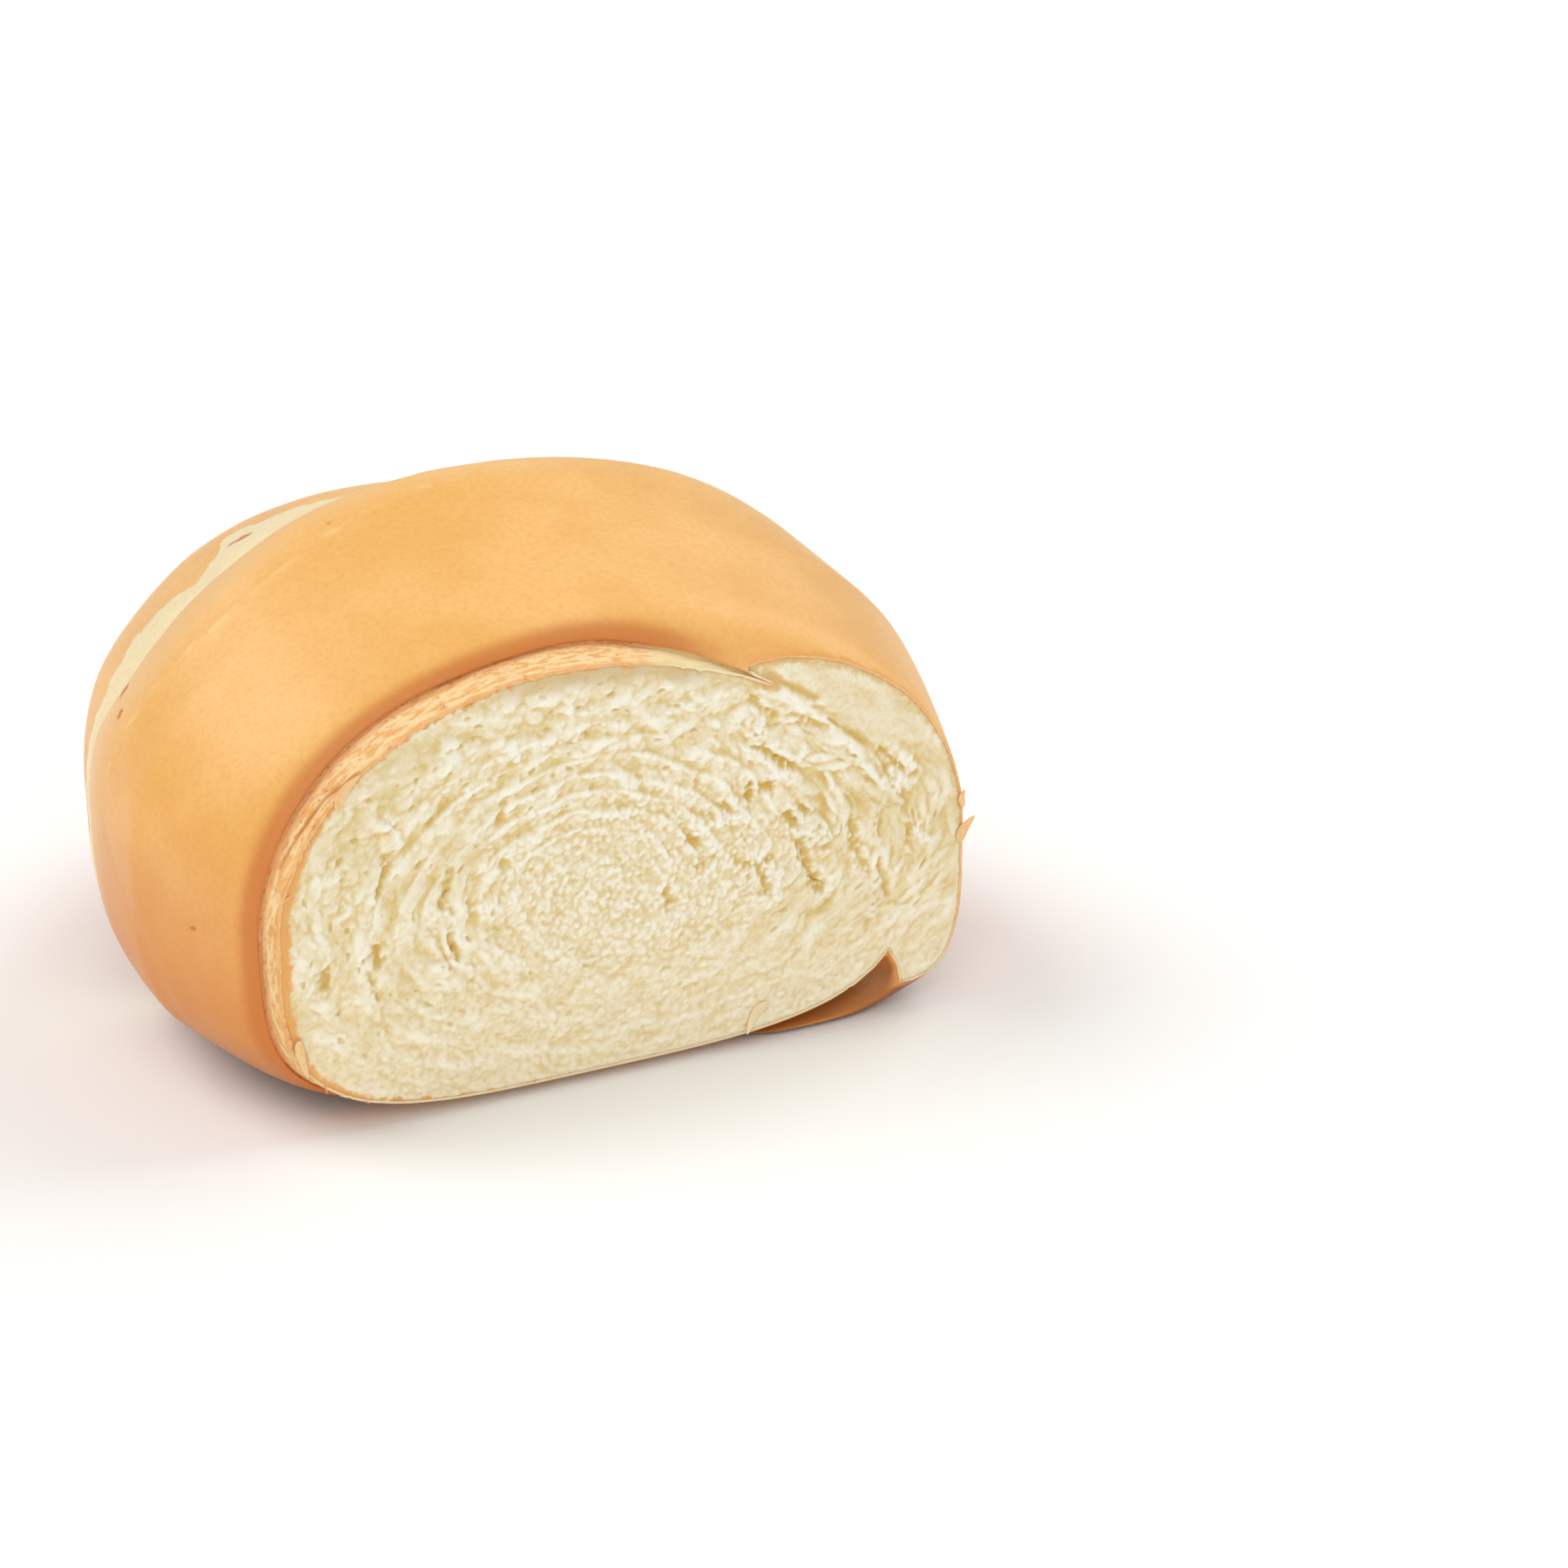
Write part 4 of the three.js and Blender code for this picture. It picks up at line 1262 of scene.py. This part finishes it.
# %% Crinkle and finish the leaves
CRINKLE_SIZE, CRINKLE_HEIGHT = 1.1 * MM, 1.0 * MM
leaves = add_node(flake_tree, "GeometryNodeRealizeInstances", 0, Geometry=leaves)
crinkle = add_node(
    flake_tree, "ShaderNodeTexNoise", "Color", Vector=position, Scale=1 / CRINKLE_SIZE, Detail=1.0,
)
crinkle = add_node(
    flake_tree, "ShaderNodeVectorMath", 0, operation="SUBTRACT", i0=crinkle, i1=(0.5, 0.5, 0.5),
)
crinkle = add_node(flake_tree, "ShaderNodeVectorMath", 0, operation="SCALE", i0=crinkle, Scale=CRINKLE_HEIGHT)
leaves = add_node(flake_tree, "GeometryNodeSetPosition", 0, Geometry=leaves, Offset=crinkle)
leaves = add_node(flake_tree, "GeometryNodeSetShadeSmooth", 0, Geometry=leaves)
leaves = add_node(flake_tree, "GeometryNodeSetMaterial", 0, Geometry=leaves, Material=given["Material"])
add_node(flake_tree, "NodeGroupOutput", None, Geometry=leaves)
print("tree nodes:", len(flake_tree.nodes))


# %% Grow the flakes
def grow_flakes(name, bed_mesh, **inputs):
    """A piece of curled leaves that grow on a mesh. The inputs are the tree's, by name."""
    piece = add_piece(name, bed_mesh)
    modifier = piece.modifiers.new("flakes", "NODES")
    modifier.node_group = flake_tree
    for item in flake_tree.interface.items_tree:
        if item.in_out == "INPUT" and item.name in inputs:
            modifier[item.identifier] = inputs[item.name]
    grown = piece.evaluated_get(bpy.context.evaluated_depsgraph_get())
    flakes = bpy.data.meshes.new_from_object(grown)
    piece.modifiers.clear()
    piece.data = flakes
    print(name, "triangles:", sum(len(p.vertices) - 2 for p in flakes.polygons))
    return piece


crust_flakes = grow_flakes(
    "crust_flakes", crust.data, Material=crust_material, Seed=5,
    Spacing=3.2 * MM, Length=3.2 * MM, Width=0.9 * MM, Thickness=0.3 * MM, Curl=0.6,
)

# %% [markdown]
# ## Loose scraps
#
# The knife left a few larger scraps of crust hanging at the edge of the cut. There are only five, each in
# a place of its own, so each is a ball that is flattened, narrowed to a tip and bent, point by point.

# %% The scraps that hang at the cut
SCRAPS = [  # x, z, length, width, lean in degrees from upright
    (-69.7, 19.0, 8.5, 1.9, 170), (-58, 73, 8, 2.0, 40), (30.5, 6.4, 8, 2.4, 217),
    (80.1, 46.6, 4.0, 1.5, 5), (80.9, 39.6, 6.5, 2.4, 32),
]
SCRAP_THICKNESS, SCRAP_FRONT = 0.6, 0.5
SCRAP_TAPER, SCRAP_BEND, SCRAP_WAVE = 0.9, 0.35, 0.3

bm = bmesh.new()
for x, z, length, width, lean in SCRAPS:
    ball = bmesh.ops.create_uvsphere(bm, u_segments=16, v_segments=12, radius=0.5)["verts"]
    c, s = math.cos(math.radians(lean)), math.sin(math.radians(lean))
    for vert in ball:
        up, wide = vert.co.z * length, vert.co.x * width * (1 - SCRAP_TAPER * vert.co.z)
        bend = SCRAP_BEND * length * vert.co.z**2 + SCRAP_WAVE * math.sin(5 * vert.co.z + x)
        forward = SCRAP_THICKNESS * vert.co.y - bend - SCRAP_FRONT
        vert.co = (x + up * s + wide * c, forward, z + up * c - wide * s)
scrap_mesh = bpy.data.meshes.new("loose_scraps")
loose_scraps = finish_piece("loose_scraps", bm, scrap_mesh)
for title, given_value in (("rim", 1.0), ("bare", 0.3)):  # the look of the cut rim
    same_values = np.full(len(scrap_mesh.vertices), given_value, np.float32)
    scrap_mesh.attributes.new(title, "FLOAT", "POINT").data.foreach_set("value", same_values)
scrap_mesh.materials.append(crust_material)

# %% [markdown]
# ## Stage and light
#
# The loaf lies on a plain, near-white floor. All lights are wide suns, which are as even far away as near
# the loaf, so the floor stays white to its edge. One stands high behind the left shoulder and gives the
# crust its broad sheen there, one behind the right gives the top its paler gold, and one in front keeps
# the crumb evenly lit.

# %% Floor
FLOOR_RADIUS_M = 9  # far enough for its edge to stay out of sight
floor_mesh = bpy.data.meshes.new("floor")
bm = bmesh.new()
bmesh.ops.create_circle(bm, cap_ends=True, segments=96, radius=FLOOR_RADIUS_M)
bm.to_mesh(floor_mesh)
bm.free()
floor = add_piece("floor", floor_mesh)
paper = bpy.data.materials.new("matte_white_paper")
paper.use_nodes = True
finish_material(floor_mesh, paper, {}, {"Base Color": linear("#F7F6F4"), "Roughness": 0.9})


# %% Lights
def add_sun(name, direction, strength, spread):
    """A round soft light, spread degrees wide, that shines from a direction."""
    light = bpy.data.lights.new(name, "SUN")
    light.energy = strength
    light.angle = math.radians(spread)
    lamp = bpy.data.objects.new(name, light)
    bpy.context.scene.collection.objects.link(lamp)
    lamp.rotation_euler = Vector(direction).to_track_quat("Z", "Y").to_euler()


add_sun("soft_box_left", (-0.50, 0.43, 0.75), 1.35, 40)
add_sun("soft_box_right", (0.74, 0.15, 0.66), 1.15, 45)
add_sun("front_fill", (-0.30, -0.82, 0.50), 1.12, 60)
world = bpy.data.worlds.new("studio")
bpy.context.scene.world = world
world.use_nodes = True
sky = world.node_tree.nodes["Background"].inputs
sky["Color"].default_value = linear("#FFFFFF")
sky["Strength"].default_value = 0.42
bpy.context.scene.view_settings.view_transform = "Standard"
print("suns:", sum(lamp.type == "SUN" for lamp in bpy.data.lights))

# %% [markdown]
# ## Join the pieces to the part
#
# Each piece rides on the part's one body, and the crust stands for the CAD solid.

# %% Ride, replace and finish
for piece, slot in (
    (crust, "crust"), (crust_flakes, "crust"), (loose_scraps, "crust"), (crumb, "crumb"),
):
    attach(piece, "root")
    print(piece.name, "rides on root with the finish", slot)
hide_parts("loaf")
